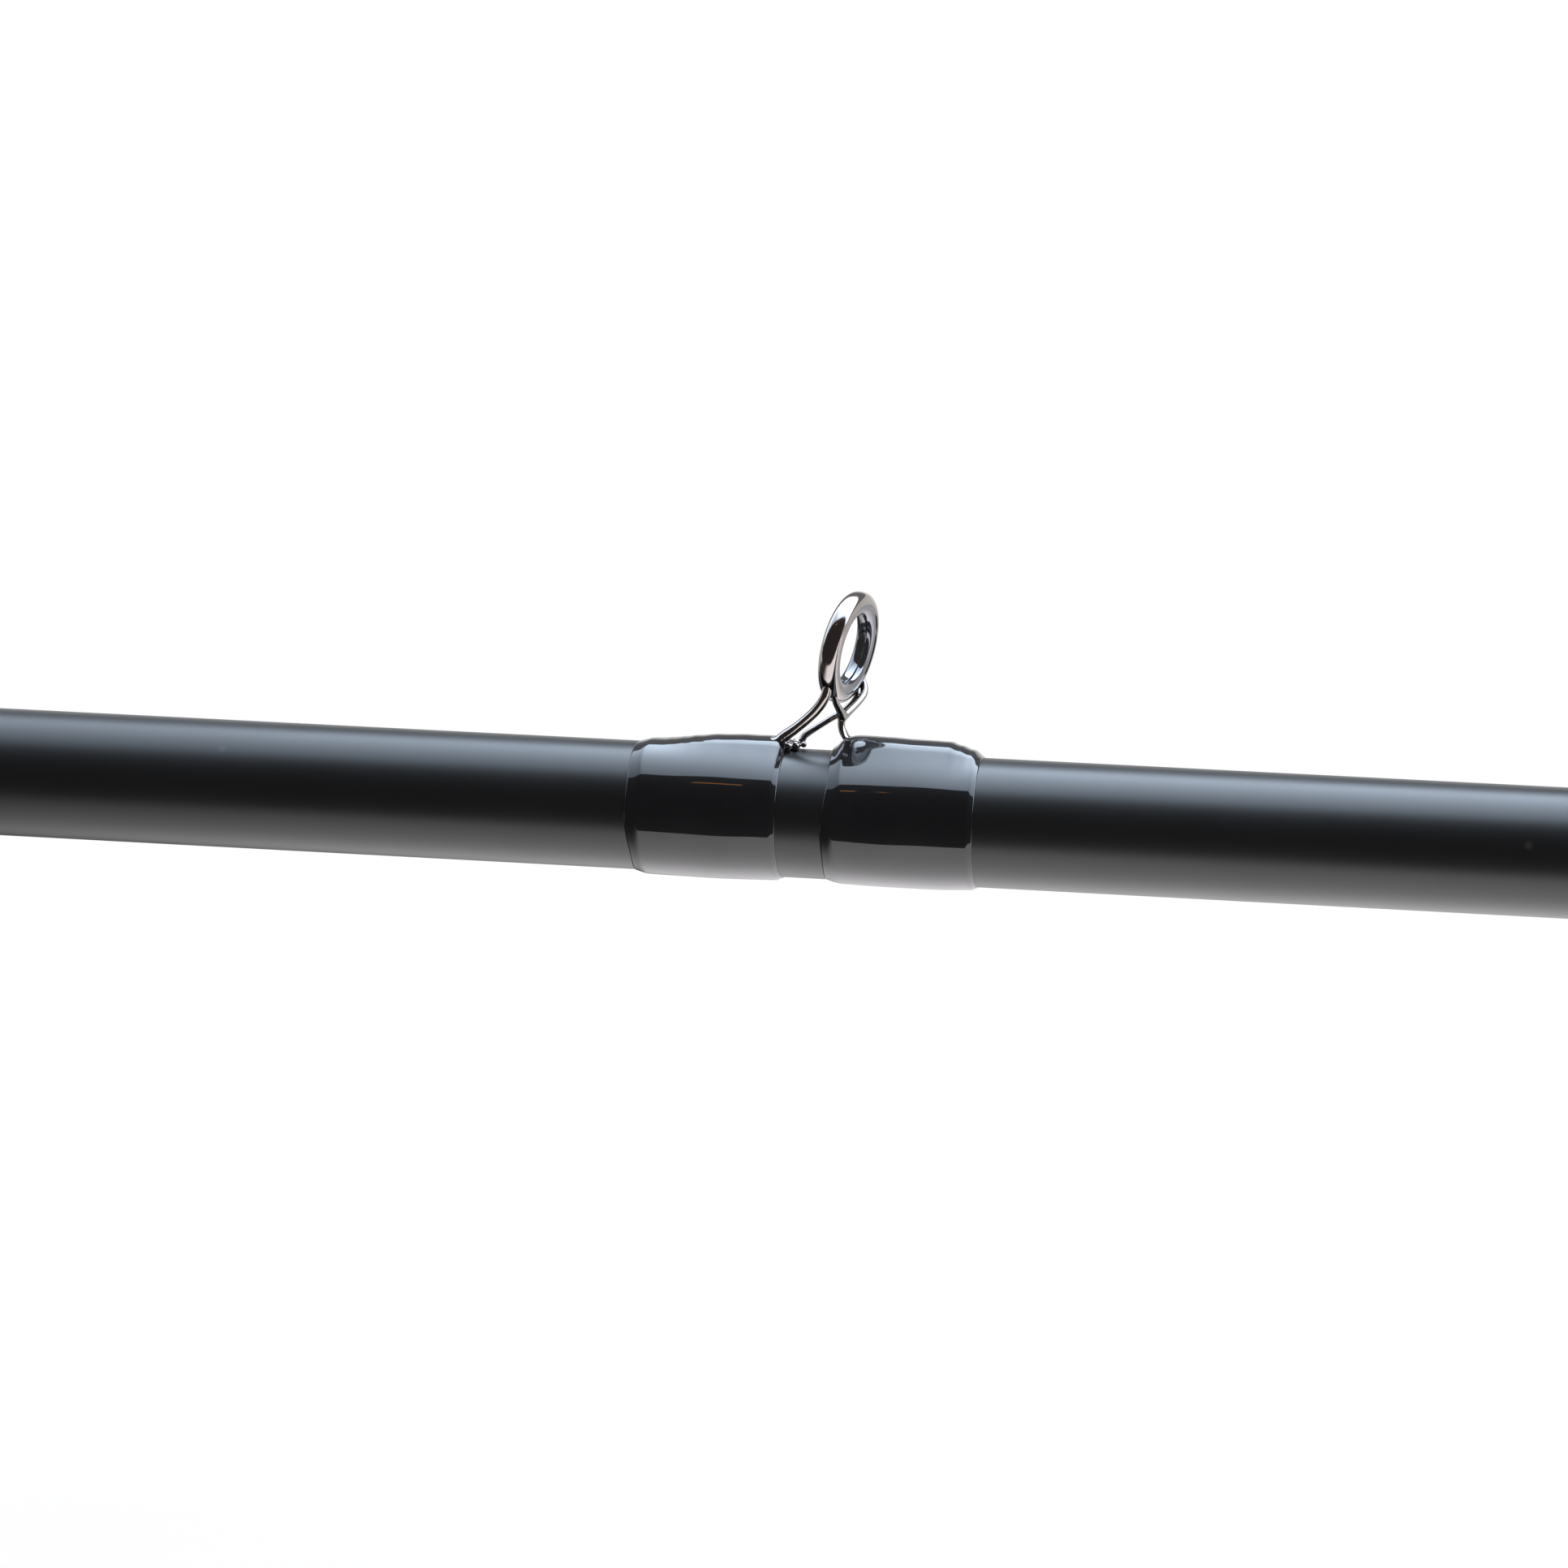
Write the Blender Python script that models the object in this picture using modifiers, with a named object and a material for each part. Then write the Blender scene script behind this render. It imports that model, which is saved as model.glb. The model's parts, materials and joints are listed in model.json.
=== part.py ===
"""A two-piece spinning rod: spigot-ferruled blank, double-foot ring guides, screw-locked reel seat
and folding hook keeper.

The rod lies along X, with its butt at -X and its tip at +X, and its guides and the reel foot's bed
face +Z. The origin is on the rod's axis at the middle of the reel seat. A piece along the rod is
placed by its station, which is its distance from the butt end.
"""

import math
from types import SimpleNamespace

import bmesh
import bpy
from mathutils import Matrix, Vector

MM = 0.001
WELD = 0.003 * MM

# Whole rod
ROD_LENGTH = 2.130
OBJECT_NAME = "spinning_rod"

# Fits
GLUE_GAP = 0.12 * MM
FACE_GAP = 0.3 * MM
RUNNING_GAP = 0.3 * MM

# Blank
BUTT_DIAMETER = 13.1 * MM
BREAK_DIAMETER = 8.0 * MM
TIP_DIAMETER = 2.6 * MM
BREAK_TO_TIP = 0.660
BUTT_WALL = 1.1 * MM
TIP_WALL = 0.6 * MM

# Ferrule
FERRULE_TO_TIP = 1.040
FERRULE_OPENING = 3.0 * MM
SPIGOT_ROOT = 60 * MM
SPIGOT_REACH = 65 * MM
FERRULE_WRAP_LENGTH = 24 * MM

# Handle
BUTT_CAP_LENGTH = 30 * MM
BUTT_CAP_RADIUS = 15.0 * MM
BUTT_FACE_RADIUS = 10.5 * MM
BUTT_CAP_FLOOR = 6 * MM
REAR_GRIP_LENGTH = 170 * MM
GRIP_RADIUS = 12.6 * MM
GRIP_SWELL = 1.3 * MM
CHECK_LENGTH = 5 * MM
FORE_GRIP_LENGTH = 85 * MM
FORE_GRIP_NOSE = 9.0 * MM
REAR_GRIP_EDGE = 1.0 * MM
FORE_GRIP_EDGE = 0.8 * MM
CHECK_CORNER = 0.6 * MM
HANDLE_WRAP_LENGTH = 20 * MM

# Reel seat, along the seat from its butt end
SEAT_LENGTH = 130 * MM
SEAT_FLANGE_LENGTH = 6 * MM
SEAT_BARREL_RADIUS = 11.2 * MM
SEAT_BORE_RADIUS = 7.5 * MM
SEAT_BED_HEIGHT = 9.9 * MM
SEAT_BED_START = 46 * MM
SEAT_CORNER = 0.5 * MM
ARBOR_LENGTH = 16 * MM

# Hoods and lock nut
HOOD_LENGTH = 24 * MM
HOOD_STAND = 3.0 * MM
HOOD_RADIUS = SEAT_BARREL_RADIUS + HOOD_STAND
HOOD_WALL = 1.1 * MM
LINER_WALL = 1.0 * MM
DOME_CENTRE = 6.5 * MM
DOME_MOUTH_RADIUS = 12.0 * MM
DOME_STEP = 1.3 * MM
CUT_PAST = 2 * MM
POCKET_FLOOR = 7 * MM
NUT_LENGTH = 12 * MM
NUT_WALL = 2.9 * MM
NUT_RADIUS = SEAT_BARREL_RADIUS + RUNNING_GAP + NUT_WALL
NUT_START = 22 * MM
NUT_CORNER = 1.0 * MM

# Hook keeper
KEEPER_FROM_HANDLE = 22 * MM
KEEPER_STRIP = (24 * MM, 2.4 * MM, 0.5 * MM)
KEEPER_AXIS_HEIGHT = 1.7 * MM
KEEPER_BARREL = SimpleNamespace(radius=1.3 * MM, length=4.0 * MM)
KEEPER_WIRE_RADIUS = 0.4 * MM
KEEPER_WIRE_GAP = 0.2 * MM
KEEPER_LOOP_LENGTH = 9.0 * MM
KEEPER_LOOP_HALF_WIDTH = 3.2 * MM
KEEPER_LOOP_CORNER = 0.8 * MM
KEEPER_WRAP_START = 3 * MM
KEEPER_WRAP_PAST = 1 * MM

# Guides
GUIDE_LEAN = math.radians(11.4)
RING_GAP = 0.1 * MM
THREAD_WALL = 0.35 * MM
WRAP_SHOULDER = 0.8 * MM
WRAP_MARGIN = 0.4 * MM
INSERT_PROUD = 0.15 * MM
FOOT_TIP_WIDTH = 0.6
FOOT_TIP_THICKNESS = 0.5
LEG_LIFT = 1.06
LEG_SPREAD = 1.3
LONG_LEG_TURN = math.radians(135)
SHORT_LEG_TURN = math.radians(150)
SHORT_LEG_FORWARD = 0.08
APEX_DROP = 0.29
SMALL = SimpleNamespace(
    band=3.63 * MM,
    insert=2.95 * MM,
    bore=2.2 * MM,
    height=6.45 * MM,
    wire=0.34 * MM,
    band_half=0.65 * MM,
    butt_foot=(-3.2 * MM, 9.6 * MM),
    tip_foot=(0.3 * MM, 8.2 * MM),
    foot_width=1.7 * MM,
)
MIDDLE = SimpleNamespace(
    band=5.8 * MM,
    insert=4.8 * MM,
    bore=3.7 * MM,
    height=12.5 * MM,
    wire=0.5 * MM,
    band_half=1.0 * MM,
    butt_foot=(-5.6 * MM, 12.5 * MM),
    tip_foot=(0.6 * MM, 11.5 * MM),
    foot_width=2.2 * MM,
)
LARGE = SimpleNamespace(
    band=11.1 * MM,
    insert=9.7 * MM,
    bore=8.0 * MM,
    height=23.0 * MM,
    wire=0.75 * MM,
    band_half=1.9 * MM,
    butt_foot=(-11 * MM, 17.5 * MM),
    tip_foot=(1.2 * MM, 16.5 * MM),
    foot_width=3.0 * MM,
)
# Each guide's size, its ring's distance from the tip end of the rod, and how far its ring is bent
# round the vertical. One ring has been knocked out of square.
GUIDES = (
    (LARGE, 1.150, 0.0),
    (MIDDLE, 0.920, 0.0),
    (SMALL, 0.725, math.radians(-11.5)),
    (SMALL, 0.550, 0.0),
    (SMALL, 0.390, 0.0),
    (SMALL, 0.245, 0.0),
    (SMALL, 0.115, 0.0),
)

# Tip-top
TIP_TUBE_LENGTH = 14 * MM
TIP_TUBE_WALL = 0.4 * MM
TIP_RING_SETBACK = 2.0 * MM
TIP_WRAP_LENGTH = 8 * MM
TIP_TUBE_CORNER = 0.5 * MM
TIP_RING_SINK = 0.5 * MM
TIP_RING_BACK = 1.5 * MM
TIP_BRACE_REACH = 9 * MM

# Facets
BLANK_STEPS = 16
HANDLE_STEPS = 24
RING_STEPS = 14

# Stations worked out from the sizes above
REAR_GRIP_STATION = BUTT_CAP_LENGTH + FACE_GAP
REAR_CHECK_STATION = REAR_GRIP_STATION + REAR_GRIP_LENGTH + FACE_GAP
SEAT_STATION = REAR_CHECK_STATION + CHECK_LENGTH + FACE_GAP
SEAT_MIDDLE = SEAT_STATION + SEAT_LENGTH / 2
FRONT_CHECK_STATION = SEAT_STATION + SEAT_LENGTH + FACE_GAP
FORE_GRIP_STATION = FRONT_CHECK_STATION + CHECK_LENGTH + FACE_GAP
FORE_CHECK_STATION = FORE_GRIP_STATION + FORE_GRIP_LENGTH + FACE_GAP
HANDLE_END = FORE_CHECK_STATION + CHECK_LENGTH
KEEPER_STATION = HANDLE_END + HANDLE_WRAP_LENGTH + KEEPER_FROM_HANDLE
FERRULE_STATION = ROD_LENGTH - FERRULE_TO_TIP
TIP_SECTION_START = FERRULE_STATION + FERRULE_OPENING
TIP_TUBE_END = ROD_LENGTH - TIP_RING_SETBACK
TIP_TUBE_START = TIP_TUBE_END - TIP_TUBE_LENGTH
BLANK_START = BUTT_CAP_FLOOR + FACE_GAP
BLANK_END = TIP_TUBE_END - TIP_TUBE_WALL - FACE_GAP
SEAT_BED_END = SEAT_LENGTH - SEAT_FLANGE_LENGTH - FACE_GAP - POCKET_FLOOR
BLANK_KNEE = ROD_LENGTH - BREAK_TO_TIP


def blank_radius(station):
    """The blank's outer radius: a slow taper from the butt, then a quick one to the tip."""
    if station <= BLANK_KNEE:
        share = station / BLANK_KNEE
        diameter = BUTT_DIAMETER + (BREAK_DIAMETER - BUTT_DIAMETER) * share
    else:
        share = (station - BLANK_KNEE) / BREAK_TO_TIP
        diameter = BREAK_DIAMETER + (TIP_DIAMETER - BREAK_DIAMETER) * share
    return diameter / 2


def blank_bore(station):
    """The blank's inner radius."""
    return blank_radius(station) - BUTT_WALL + (BUTT_WALL - TIP_WALL) * station / ROD_LENGTH


def along(station):
    """The world X of a station."""
    return station - SEAT_MIDDLE


def clear_scene():
    for obj in list(bpy.data.objects):
        bpy.data.objects.remove(obj, do_unlink=True)


def make_collection(name, hidden=False):
    made = bpy.data.collections.new(name)
    bpy.context.scene.collection.children.link(made)
    made.hide_render = hidden
    return made


def make_material(name, color, roughness, metallic=0.0):
    made = bpy.data.materials.new(name)
    made.use_nodes = True
    shader = made.node_tree.nodes["Principled BSDF"]
    shader.inputs["Base Color"].default_value = (*color, 1.0)
    shader.inputs["Roughness"].default_value = roughness
    shader.inputs["Metallic"].default_value = metallic
    return made


def link(obj, home):
    for old in list(obj.users_collection):
        old.objects.unlink(obj)
    home.objects.link(obj)
    return obj


def settle(obj):
    """Turns an object and its modifiers into a plain mesh that holds its own place."""
    graph = bpy.context.evaluated_depsgraph_get()
    graph.update()
    mesh = bpy.data.meshes.new_from_object(obj.evaluated_get(graph))
    mesh.transform(obj.matrix_world)
    work = bmesh.new()
    work.from_mesh(mesh)
    bmesh.ops.remove_doubles(work, verts=work.verts, dist=WELD)
    work.to_mesh(mesh)
    work.free()
    name = obj.name
    home = obj.users_collection[0]
    bpy.data.objects.remove(obj, do_unlink=True)
    plain = bpy.data.objects.new(name, mesh)
    home.objects.link(plain)
    mesh.shade_smooth()
    mesh.set_sharp_from_angle(angle=math.radians(35))
    return plain


def hide_cutter(obj):
    link(obj, CUTTERS)
    obj.hide_render = True
    obj.display_type = "WIRE"
    return obj


def combine(obj, others, operation):
    """Joins or cuts obj with other solids, then drops them."""
    for other in others:
        hide_cutter(other)
        step = obj.modifiers.new(operation.lower(), "BOOLEAN")
        step.operation = operation
        step.object = other
    made = settle(obj)
    for other in others:
        bpy.data.objects.remove(other, do_unlink=True)
    return made


def turned(name, outline, steps=BLANK_STEPS, station=0.0, height=0.0, lean=0.0, twist=0.0):
    """A turned solid. outline holds (along, radius) corners, closed unless both ends are on the axis."""
    corners = list(outline)
    area = 0.0
    for (along_a, radius_a), (along_b, radius_b) in zip(corners, corners[1:] + corners[:1]):
        area += radius_a * along_b - radius_b * along_a
    if area > 0:
        corners.reverse()
    edges = [(index, index + 1) for index in range(len(corners) - 1)]
    if corners[0][1] > 0 or corners[-1][1] > 0:
        edges.append((len(corners) - 1, 0))
    mesh = bpy.data.meshes.new(name)
    mesh.from_pydata([(radius, 0, place) for place, radius in corners], edges, [])
    obj = bpy.data.objects.new(name, mesh)
    PIECES.objects.link(obj)
    obj.location = (along(station), 0, height)
    obj.rotation_euler = (0, math.pi / 2 + lean, twist)
    screw = obj.modifiers.new("turn", "SCREW")
    screw.axis = "Z"
    screw.angle = math.tau
    screw.steps = steps
    screw.render_steps = steps
    screw.use_merge_vertices = True
    screw.merge_threshold = 1e-6
    bpy.context.view_layer.update()
    return settle(obj)


def sleeve(name, start, end, outer, inner, steps=BLANK_STEPS):
    """A turned tube. outer and inner are radii, or functions of the station."""
    def read(size, station):
        return size(station) if callable(size) else size

    outline = [
        (start, read(outer, start)),
        (end, read(outer, end)),
        (end, read(inner, end)),
        (start, read(inner, start)),
    ]
    return turned(name, outline, steps)


def round_bar(name, radius_start, radius_end, start, end, height=0.0, steps=HANDLE_STEPS):
    """A plain or tapered round bar along X."""
    bpy.ops.mesh.primitive_cone_add(
        vertices=steps, radius1=radius_start, radius2=radius_end, depth=end - start,
        location=((start + end) / 2, 0, height), rotation=(0, math.pi / 2, 0))
    obj = bpy.context.object
    obj.name = name
    return link(obj, PIECES)


def block(name, low, high):
    """A box between two corners."""
    low, high = Vector(low), Vector(high)
    bpy.ops.mesh.primitive_cube_add(size=1)
    obj = bpy.context.object
    obj.name = name
    obj.data.transform(Matrix.Diagonal((*(high - low), 1)))
    obj.location = (low + high) / 2
    return link(obj, PIECES)


def wire(name, points, radius, closed=False, resolution=1):
    """A round wire through the points, as a plain mesh."""
    curve = bpy.data.curves.new(name, "CURVE")
    curve.dimensions = "3D"
    curve.bevel_depth = radius
    curve.bevel_resolution = resolution
    curve.use_fill_caps = not closed
    spline = curve.splines.new("POLY")
    spline.points.add(len(points) - 1)
    for point, place in zip(spline.points, points):
        point.co = (*place, 1)
    spline.use_cyclic_u = closed
    obj = bpy.data.objects.new(name, curve)
    PIECES.objects.link(obj)
    bpy.context.view_layer.update()
    return settle(obj)


def bend(start, middle, end, count):
    """Points along a quadratic curve."""
    start, middle, end = Vector(start), Vector(middle), Vector(end)
    points = []
    for index in range(count):
        t = index / (count - 1)
        points.append(start * (1 - t) ** 2 + middle * 2 * t * (1 - t) + end * t ** 2)
    return points


def paint(obj, material):
    obj.data.materials.clear()
    obj.data.materials.append(material)
    return obj


def place_copy(name, mesh, station, height, material):
    """A copy of a finished mesh, moved to its station and height."""
    obj = bpy.data.objects.new(name, mesh)
    PIECES.objects.link(obj)
    obj.location = (along(station), 0, height)
    if material.name not in mesh.materials:
        mesh.materials.append(material)
    return obj


# Blank and ferrule


def make_blank():
    butt = sleeve("butt_blank", BLANK_START, FERRULE_STATION, blank_radius, blank_bore)
    paint(butt, CARBON)
    outline = [
        (TIP_SECTION_START, blank_radius(TIP_SECTION_START)),
        (BLANK_KNEE, blank_radius(BLANK_KNEE)),
        (BLANK_END, blank_radius(BLANK_END)),
        (BLANK_END, blank_bore(BLANK_END)),
        (BLANK_KNEE, blank_bore(BLANK_KNEE)),
        (TIP_SECTION_START, blank_bore(TIP_SECTION_START)),
    ]
    paint(turned("tip_blank", outline), CARBON)


def make_spigot():
    root = FERRULE_STATION - SPIGOT_ROOT
    reach = TIP_SECTION_START + SPIGOT_REACH
    outline = [
        (root, 0),
        (root, blank_bore(FERRULE_STATION) - GLUE_GAP),
        (FERRULE_STATION, blank_bore(FERRULE_STATION) - GLUE_GAP),
        (TIP_SECTION_START, blank_bore(TIP_SECTION_START) - RUNNING_GAP),
        (reach, blank_bore(reach) - RUNNING_GAP),
        (reach, 0),
    ]
    paint(turned("ferrule_spigot", outline), CARBON)


def thread_wrap(name, start, end, foot=None):
    """A thread wrap round the blank. foot is the (half width, top height) of what it binds down."""
    inner_start = blank_radius(start) + GLUE_GAP
    inner_end = blank_radius(end) + GLUE_GAP
    shoulder = THREAD_WALL / 2
    outline = [
        (start, inner_start + shoulder),
        (start + WRAP_SHOULDER, inner_start + THREAD_WALL),
        (end - WRAP_SHOULDER, inner_end + THREAD_WALL),
        (end, inner_end + shoulder),
        (end, inner_end),
        (start, inner_start),
    ]
    obj = turned(name, outline)
    if foot:
        half_width, top = foot
        middle = (inner_start + inner_end + THREAD_WALL) / 2
        for vertex in obj.data.vertices:
            reach = math.hypot(vertex.co.y, vertex.co.z)
            facet = reach * math.tau / BLANK_STEPS
            if vertex.co.z <= 0 or abs(vertex.co.y) > half_width + facet:
                continue
            wall = THREAD_WALL if reach > middle else 0
            vertex.co.z = max(vertex.co.z, top + GLUE_GAP + wall)
    return paint(obj, THREAD)


def make_ferrule_wraps():
    thread_wrap("butt_ferrule_wrap", FERRULE_STATION - FERRULE_WRAP_LENGTH, FERRULE_STATION)
    thread_wrap("tip_ferrule_wrap", TIP_SECTION_START, TIP_SECTION_START + FERRULE_WRAP_LENGTH)


# Handle


def make_butt_cap():
    bore = blank_radius(BLANK_START) + GLUE_GAP
    round_over = BUTT_CAP_RADIUS - BUTT_FACE_RADIUS
    outline = [(0, 0), (0, BUTT_FACE_RADIUS)]
    for index in range(1, 4):
        turn = math.pi / 2 * index / 4
        outline.append((
            round_over * (1 - math.cos(turn)), BUTT_FACE_RADIUS + round_over * math.sin(turn)))
    outline += [
        (round_over, BUTT_CAP_RADIUS),
        (BUTT_CAP_LENGTH * 0.6, BUTT_CAP_RADIUS),
        (BUTT_CAP_LENGTH, GRIP_RADIUS),
        (BUTT_CAP_LENGTH, bore),
        (BUTT_CAP_FLOOR, bore),
        (BUTT_CAP_FLOOR, 0),
    ]
    paint(turned("butt_cap", outline, HANDLE_STEPS), RUBBER)


def grip(name, start, length, radius_of):
    """A foam grip whose outer radius is radius_of(share of its length)."""
    shares = (0.0, 0.03, 0.3, 0.65, 0.97, 1.0)
    outline = [(start + share * length, radius_of(share)) for share in shares]
    end = start + length
    outline += [
        (end, blank_radius(end) + GLUE_GAP),
        (start, blank_radius(start) + GLUE_GAP),
    ]
    return paint(turned(name, outline, HANDLE_STEPS), FOAM)


def rear_grip_radius(share):
    """Waisted behind the middle, swelling under the hand, rounded off at both ends."""
    edge = REAR_GRIP_EDGE if share in (0.0, 1.0) else 0.0
    return GRIP_RADIUS + GRIP_SWELL * share * math.sin(math.pi * share) - edge


def fore_grip_radius(share):
    """A cone from the reel seat down to the nose."""
    edge = FORE_GRIP_EDGE if share in (0.0, 1.0) else 0.0
    return GRIP_RADIUS + (FORE_GRIP_NOSE - GRIP_RADIUS) * share ** 1.4 - edge


def check_ring(name, start, outer):
    """A winding check: a thin metal ring with its corners broken."""
    end = start + CHECK_LENGTH
    outline = [
        (start, outer - CHECK_CORNER),
        (start + CHECK_CORNER, outer),
        (end - CHECK_CORNER, outer),
        (end, outer - CHECK_CORNER),
        (end, blank_radius(end) + GLUE_GAP),
        (start, blank_radius(start) + GLUE_GAP),
    ]
    paint(turned(name, outline, HANDLE_STEPS), ALUMINIUM)


def make_grips():
    grip("rear_grip", REAR_GRIP_STATION, REAR_GRIP_LENGTH, rear_grip_radius)
    grip("fore_grip", FORE_GRIP_STATION, FORE_GRIP_LENGTH, fore_grip_radius)
    check_ring("rear_check", REAR_CHECK_STATION, GRIP_RADIUS)
    check_ring("front_check", FRONT_CHECK_STATION, GRIP_RADIUS)
    check_ring("fore_check", FORE_CHECK_STATION, FORE_GRIP_NOSE)
    start = HANDLE_END + FACE_GAP
    thread_wrap("handle_wrap", start, start + HANDLE_WRAP_LENGTH)


# Reel seat


def make_seat_body():
    """The seat's tube: two flanges, and a barrel with a flat bed for the reel foot."""
    end = SEAT_STATION + SEAT_LENGTH
    outline = [
        (SEAT_STATION, GRIP_RADIUS - SEAT_CORNER),
        (SEAT_STATION + SEAT_CORNER, GRIP_RADIUS),
        (SEAT_STATION + SEAT_FLANGE_LENGTH, GRIP_RADIUS),
        (SEAT_STATION + SEAT_FLANGE_LENGTH, SEAT_BARREL_RADIUS),
        (end - SEAT_FLANGE_LENGTH, SEAT_BARREL_RADIUS),
        (end - SEAT_FLANGE_LENGTH, GRIP_RADIUS),
        (end - SEAT_CORNER, GRIP_RADIUS),
        (end, GRIP_RADIUS - SEAT_CORNER),
        (end, SEAT_BORE_RADIUS),
        (SEAT_STATION, SEAT_BORE_RADIUS),
    ]
    body = turned("reel_seat_body", outline, HANDLE_STEPS)
    bed = block(
        "bed_cutter",
        (along(SEAT_STATION + SEAT_BED_START), -2 * GRIP_RADIUS, SEAT_BED_HEIGHT),
        (along(SEAT_STATION + SEAT_BED_END), 2 * GRIP_RADIUS, 2 * GRIP_RADIUS),
    )
    paint(combine(body, [bed], "DIFFERENCE"), GRAPHITE)


def make_arbors():
    places = {
        "seat_arbor_rear": SEAT_STATION + ARBOR_LENGTH,
        "seat_arbor_middle": SEAT_MIDDLE,
        "seat_arbor_front": SEAT_STATION + SEAT_LENGTH - ARBOR_LENGTH,
    }
    for name, middle in places.items():
        start = middle - ARBOR_LENGTH / 2
        end = middle + ARBOR_LENGTH / 2
        arbor = sleeve(
            name, start, end, SEAT_BORE_RADIUS - GLUE_GAP,
            lambda station: blank_radius(station) + GLUE_GAP)
        paint(arbor, CORK)


def dome_radius(place):
    """The dome's radius at a place along the hood, from its back to its mouth."""
    back = HOOD_RADIUS - DOME_CENTRE + DOME_STEP
    return back + (DOME_MOUTH_RADIUS - back) * place / HOOD_LENGTH


def hood_form(name, start, inset, back, front):
    """The hood's form drawn in by inset, from back to front: a ring with a dome rising to its mouth."""
    low, high = start + back, start + front
    ring = round_bar(name, HOOD_RADIUS - inset, HOOD_RADIUS - inset, low, high)
    dome = round_bar(
        name + "_dome", dome_radius(back) - inset, dome_radius(front) - inset, low, high, DOME_CENTRE)
    return combine(ring, [dome], "UNION")


def make_hood(prefix, start, mirrored):
    """A hood and its liner, mouth to the tip side, or mirrored with its mouth to the butt side."""
    bore_radius = SEAT_BARREL_RADIUS + RUNNING_GAP
    past = HOOD_LENGTH + CUT_PAST
    liner_inset = HOOD_WALL + FACE_GAP
    shell = hood_form(prefix, start, 0.0, 0.0, HOOD_LENGTH)
    shell_hollow = hood_form("shell_hollow", start, HOOD_WALL, HOOD_WALL, past)
    shell_bore = round_bar("shell_bore", bore_radius, bore_radius, start - CUT_PAST, start + past)
    shell = combine(shell, [shell_hollow, shell_bore], "DIFFERENCE")
    liner = hood_form(prefix + "_liner", start, liner_inset, liner_inset, HOOD_LENGTH - FACE_GAP)
    pocket = hood_form("pocket", start, liner_inset + LINER_WALL, POCKET_FLOOR, past)
    liner_bore = round_bar("liner_bore", bore_radius, bore_radius, start - CUT_PAST, start + past)
    liner = combine(liner, [pocket, liner_bore], "DIFFERENCE")
    for obj in (shell, liner):
        if not mirrored:
            continue
        for vertex in obj.data.vertices:
            vertex.co.x = 2 * start + HOOD_LENGTH - vertex.co.x
        obj.data.flip_normals()
    paint(shell, STEEL)
    paint(liner, GRAPHITE)


def make_hoods():
    sliding_start = along(SEAT_STATION + NUT_START + NUT_LENGTH) + FACE_GAP
    make_hood("sliding_hood", sliding_start, mirrored=False)
    fixed_end = along(SEAT_STATION + SEAT_LENGTH - SEAT_FLANGE_LENGTH) - FACE_GAP
    make_hood("fixed_hood", fixed_end - HOOD_LENGTH, mirrored=True)


def make_lock_nut():
    start = SEAT_STATION + NUT_START
    end = start + NUT_LENGTH
    bore = SEAT_BARREL_RADIUS + RUNNING_GAP
    outline = [
        (start, NUT_RADIUS - NUT_CORNER),
        (start + NUT_CORNER, NUT_RADIUS),
        (end - NUT_CORNER, NUT_RADIUS),
        (end, NUT_RADIUS - NUT_CORNER),
        (end, bore),
        (start, bore),
    ]
    paint(turned("lock_nut", outline, HANDLE_STEPS), ALUMINIUM)


# Hook keeper


def keeper_height():
    """Height of the keeper's strip over the rod's axis, clear of the blank along its length."""
    return blank_radius(KEEPER_STATION - KEEPER_STRIP[0] / 2) + GLUE_GAP


def make_keeper_base():
    """A strip that the wraps bind down, with a cross barrel for the loop."""
    length, width, thickness = KEEPER_STRIP
    middle, low = along(KEEPER_STATION), keeper_height()
    axis = low + KEEPER_AXIS_HEIGHT
    strip = block(
        "keeper_base", (middle - length / 2, -width / 2, low),
        (middle + length / 2, width / 2, low + thickness))
    barrel = cross_bar("keeper_barrel", KEEPER_BARREL.radius, KEEPER_BARREL.length, middle, axis)
    strip = combine(strip, [barrel], "UNION")
    bore_radius = KEEPER_WIRE_RADIUS + KEEPER_WIRE_GAP
    bore = cross_bar("keeper_bore", bore_radius, 2 * KEEPER_BARREL.length, middle, axis)
    paint(combine(strip, [bore], "DIFFERENCE"), STEEL)
    foot = (width / 2, low + thickness)
    for side, name in ((-1, "keeper_rear_wrap"), (1, "keeper_front_wrap")):
        near = KEEPER_STATION + side * KEEPER_WRAP_START
        far = KEEPER_STATION + side * (length / 2 + KEEPER_WRAP_PAST)
        thread_wrap(name, min(near, far), max(near, far), foot)


def cross_bar(name, radius, length, middle, height):
    """A round bar across the rod."""
    bpy.ops.mesh.primitive_cylinder_add(
        vertices=16, radius=radius, depth=length,
        location=(middle, 0, height), rotation=(math.pi / 2, 0, 0))
    obj = bpy.context.object
    obj.name = name
    return link(obj, PIECES)


def make_keeper_loop():
    """A closed wire loop whose straight side turns in the barrel, lying towards the tip at rest."""
    half, corner, length = KEEPER_LOOP_HALF_WIDTH, KEEPER_LOOP_CORNER, KEEPER_LOOP_LENGTH
    outline = []
    for index in range(4):
        turn = math.pi / 2 * index / 3
        outline.append((corner * (1 - math.sin(turn)), half - corner * (1 - math.cos(turn))))
    outline.reverse()
    for index in range(9):
        turn = math.pi * index / 8
        outline.append((length - half + half * math.sin(turn), half * math.cos(turn)))
    for index in range(4):
        turn = math.pi / 2 * index / 3
        outline.append((corner * (1 - math.sin(turn)), -half + corner * (1 - math.cos(turn))))
    middle, axis = along(KEEPER_STATION), keeper_height() + KEEPER_AXIS_HEIGHT
    points = [(middle + along_x, across, axis) for along_x, across in outline]
    paint(wire("keeper_loop", points, KEEPER_WIRE_RADIUS, closed=True), STEEL)


# Guides


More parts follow.
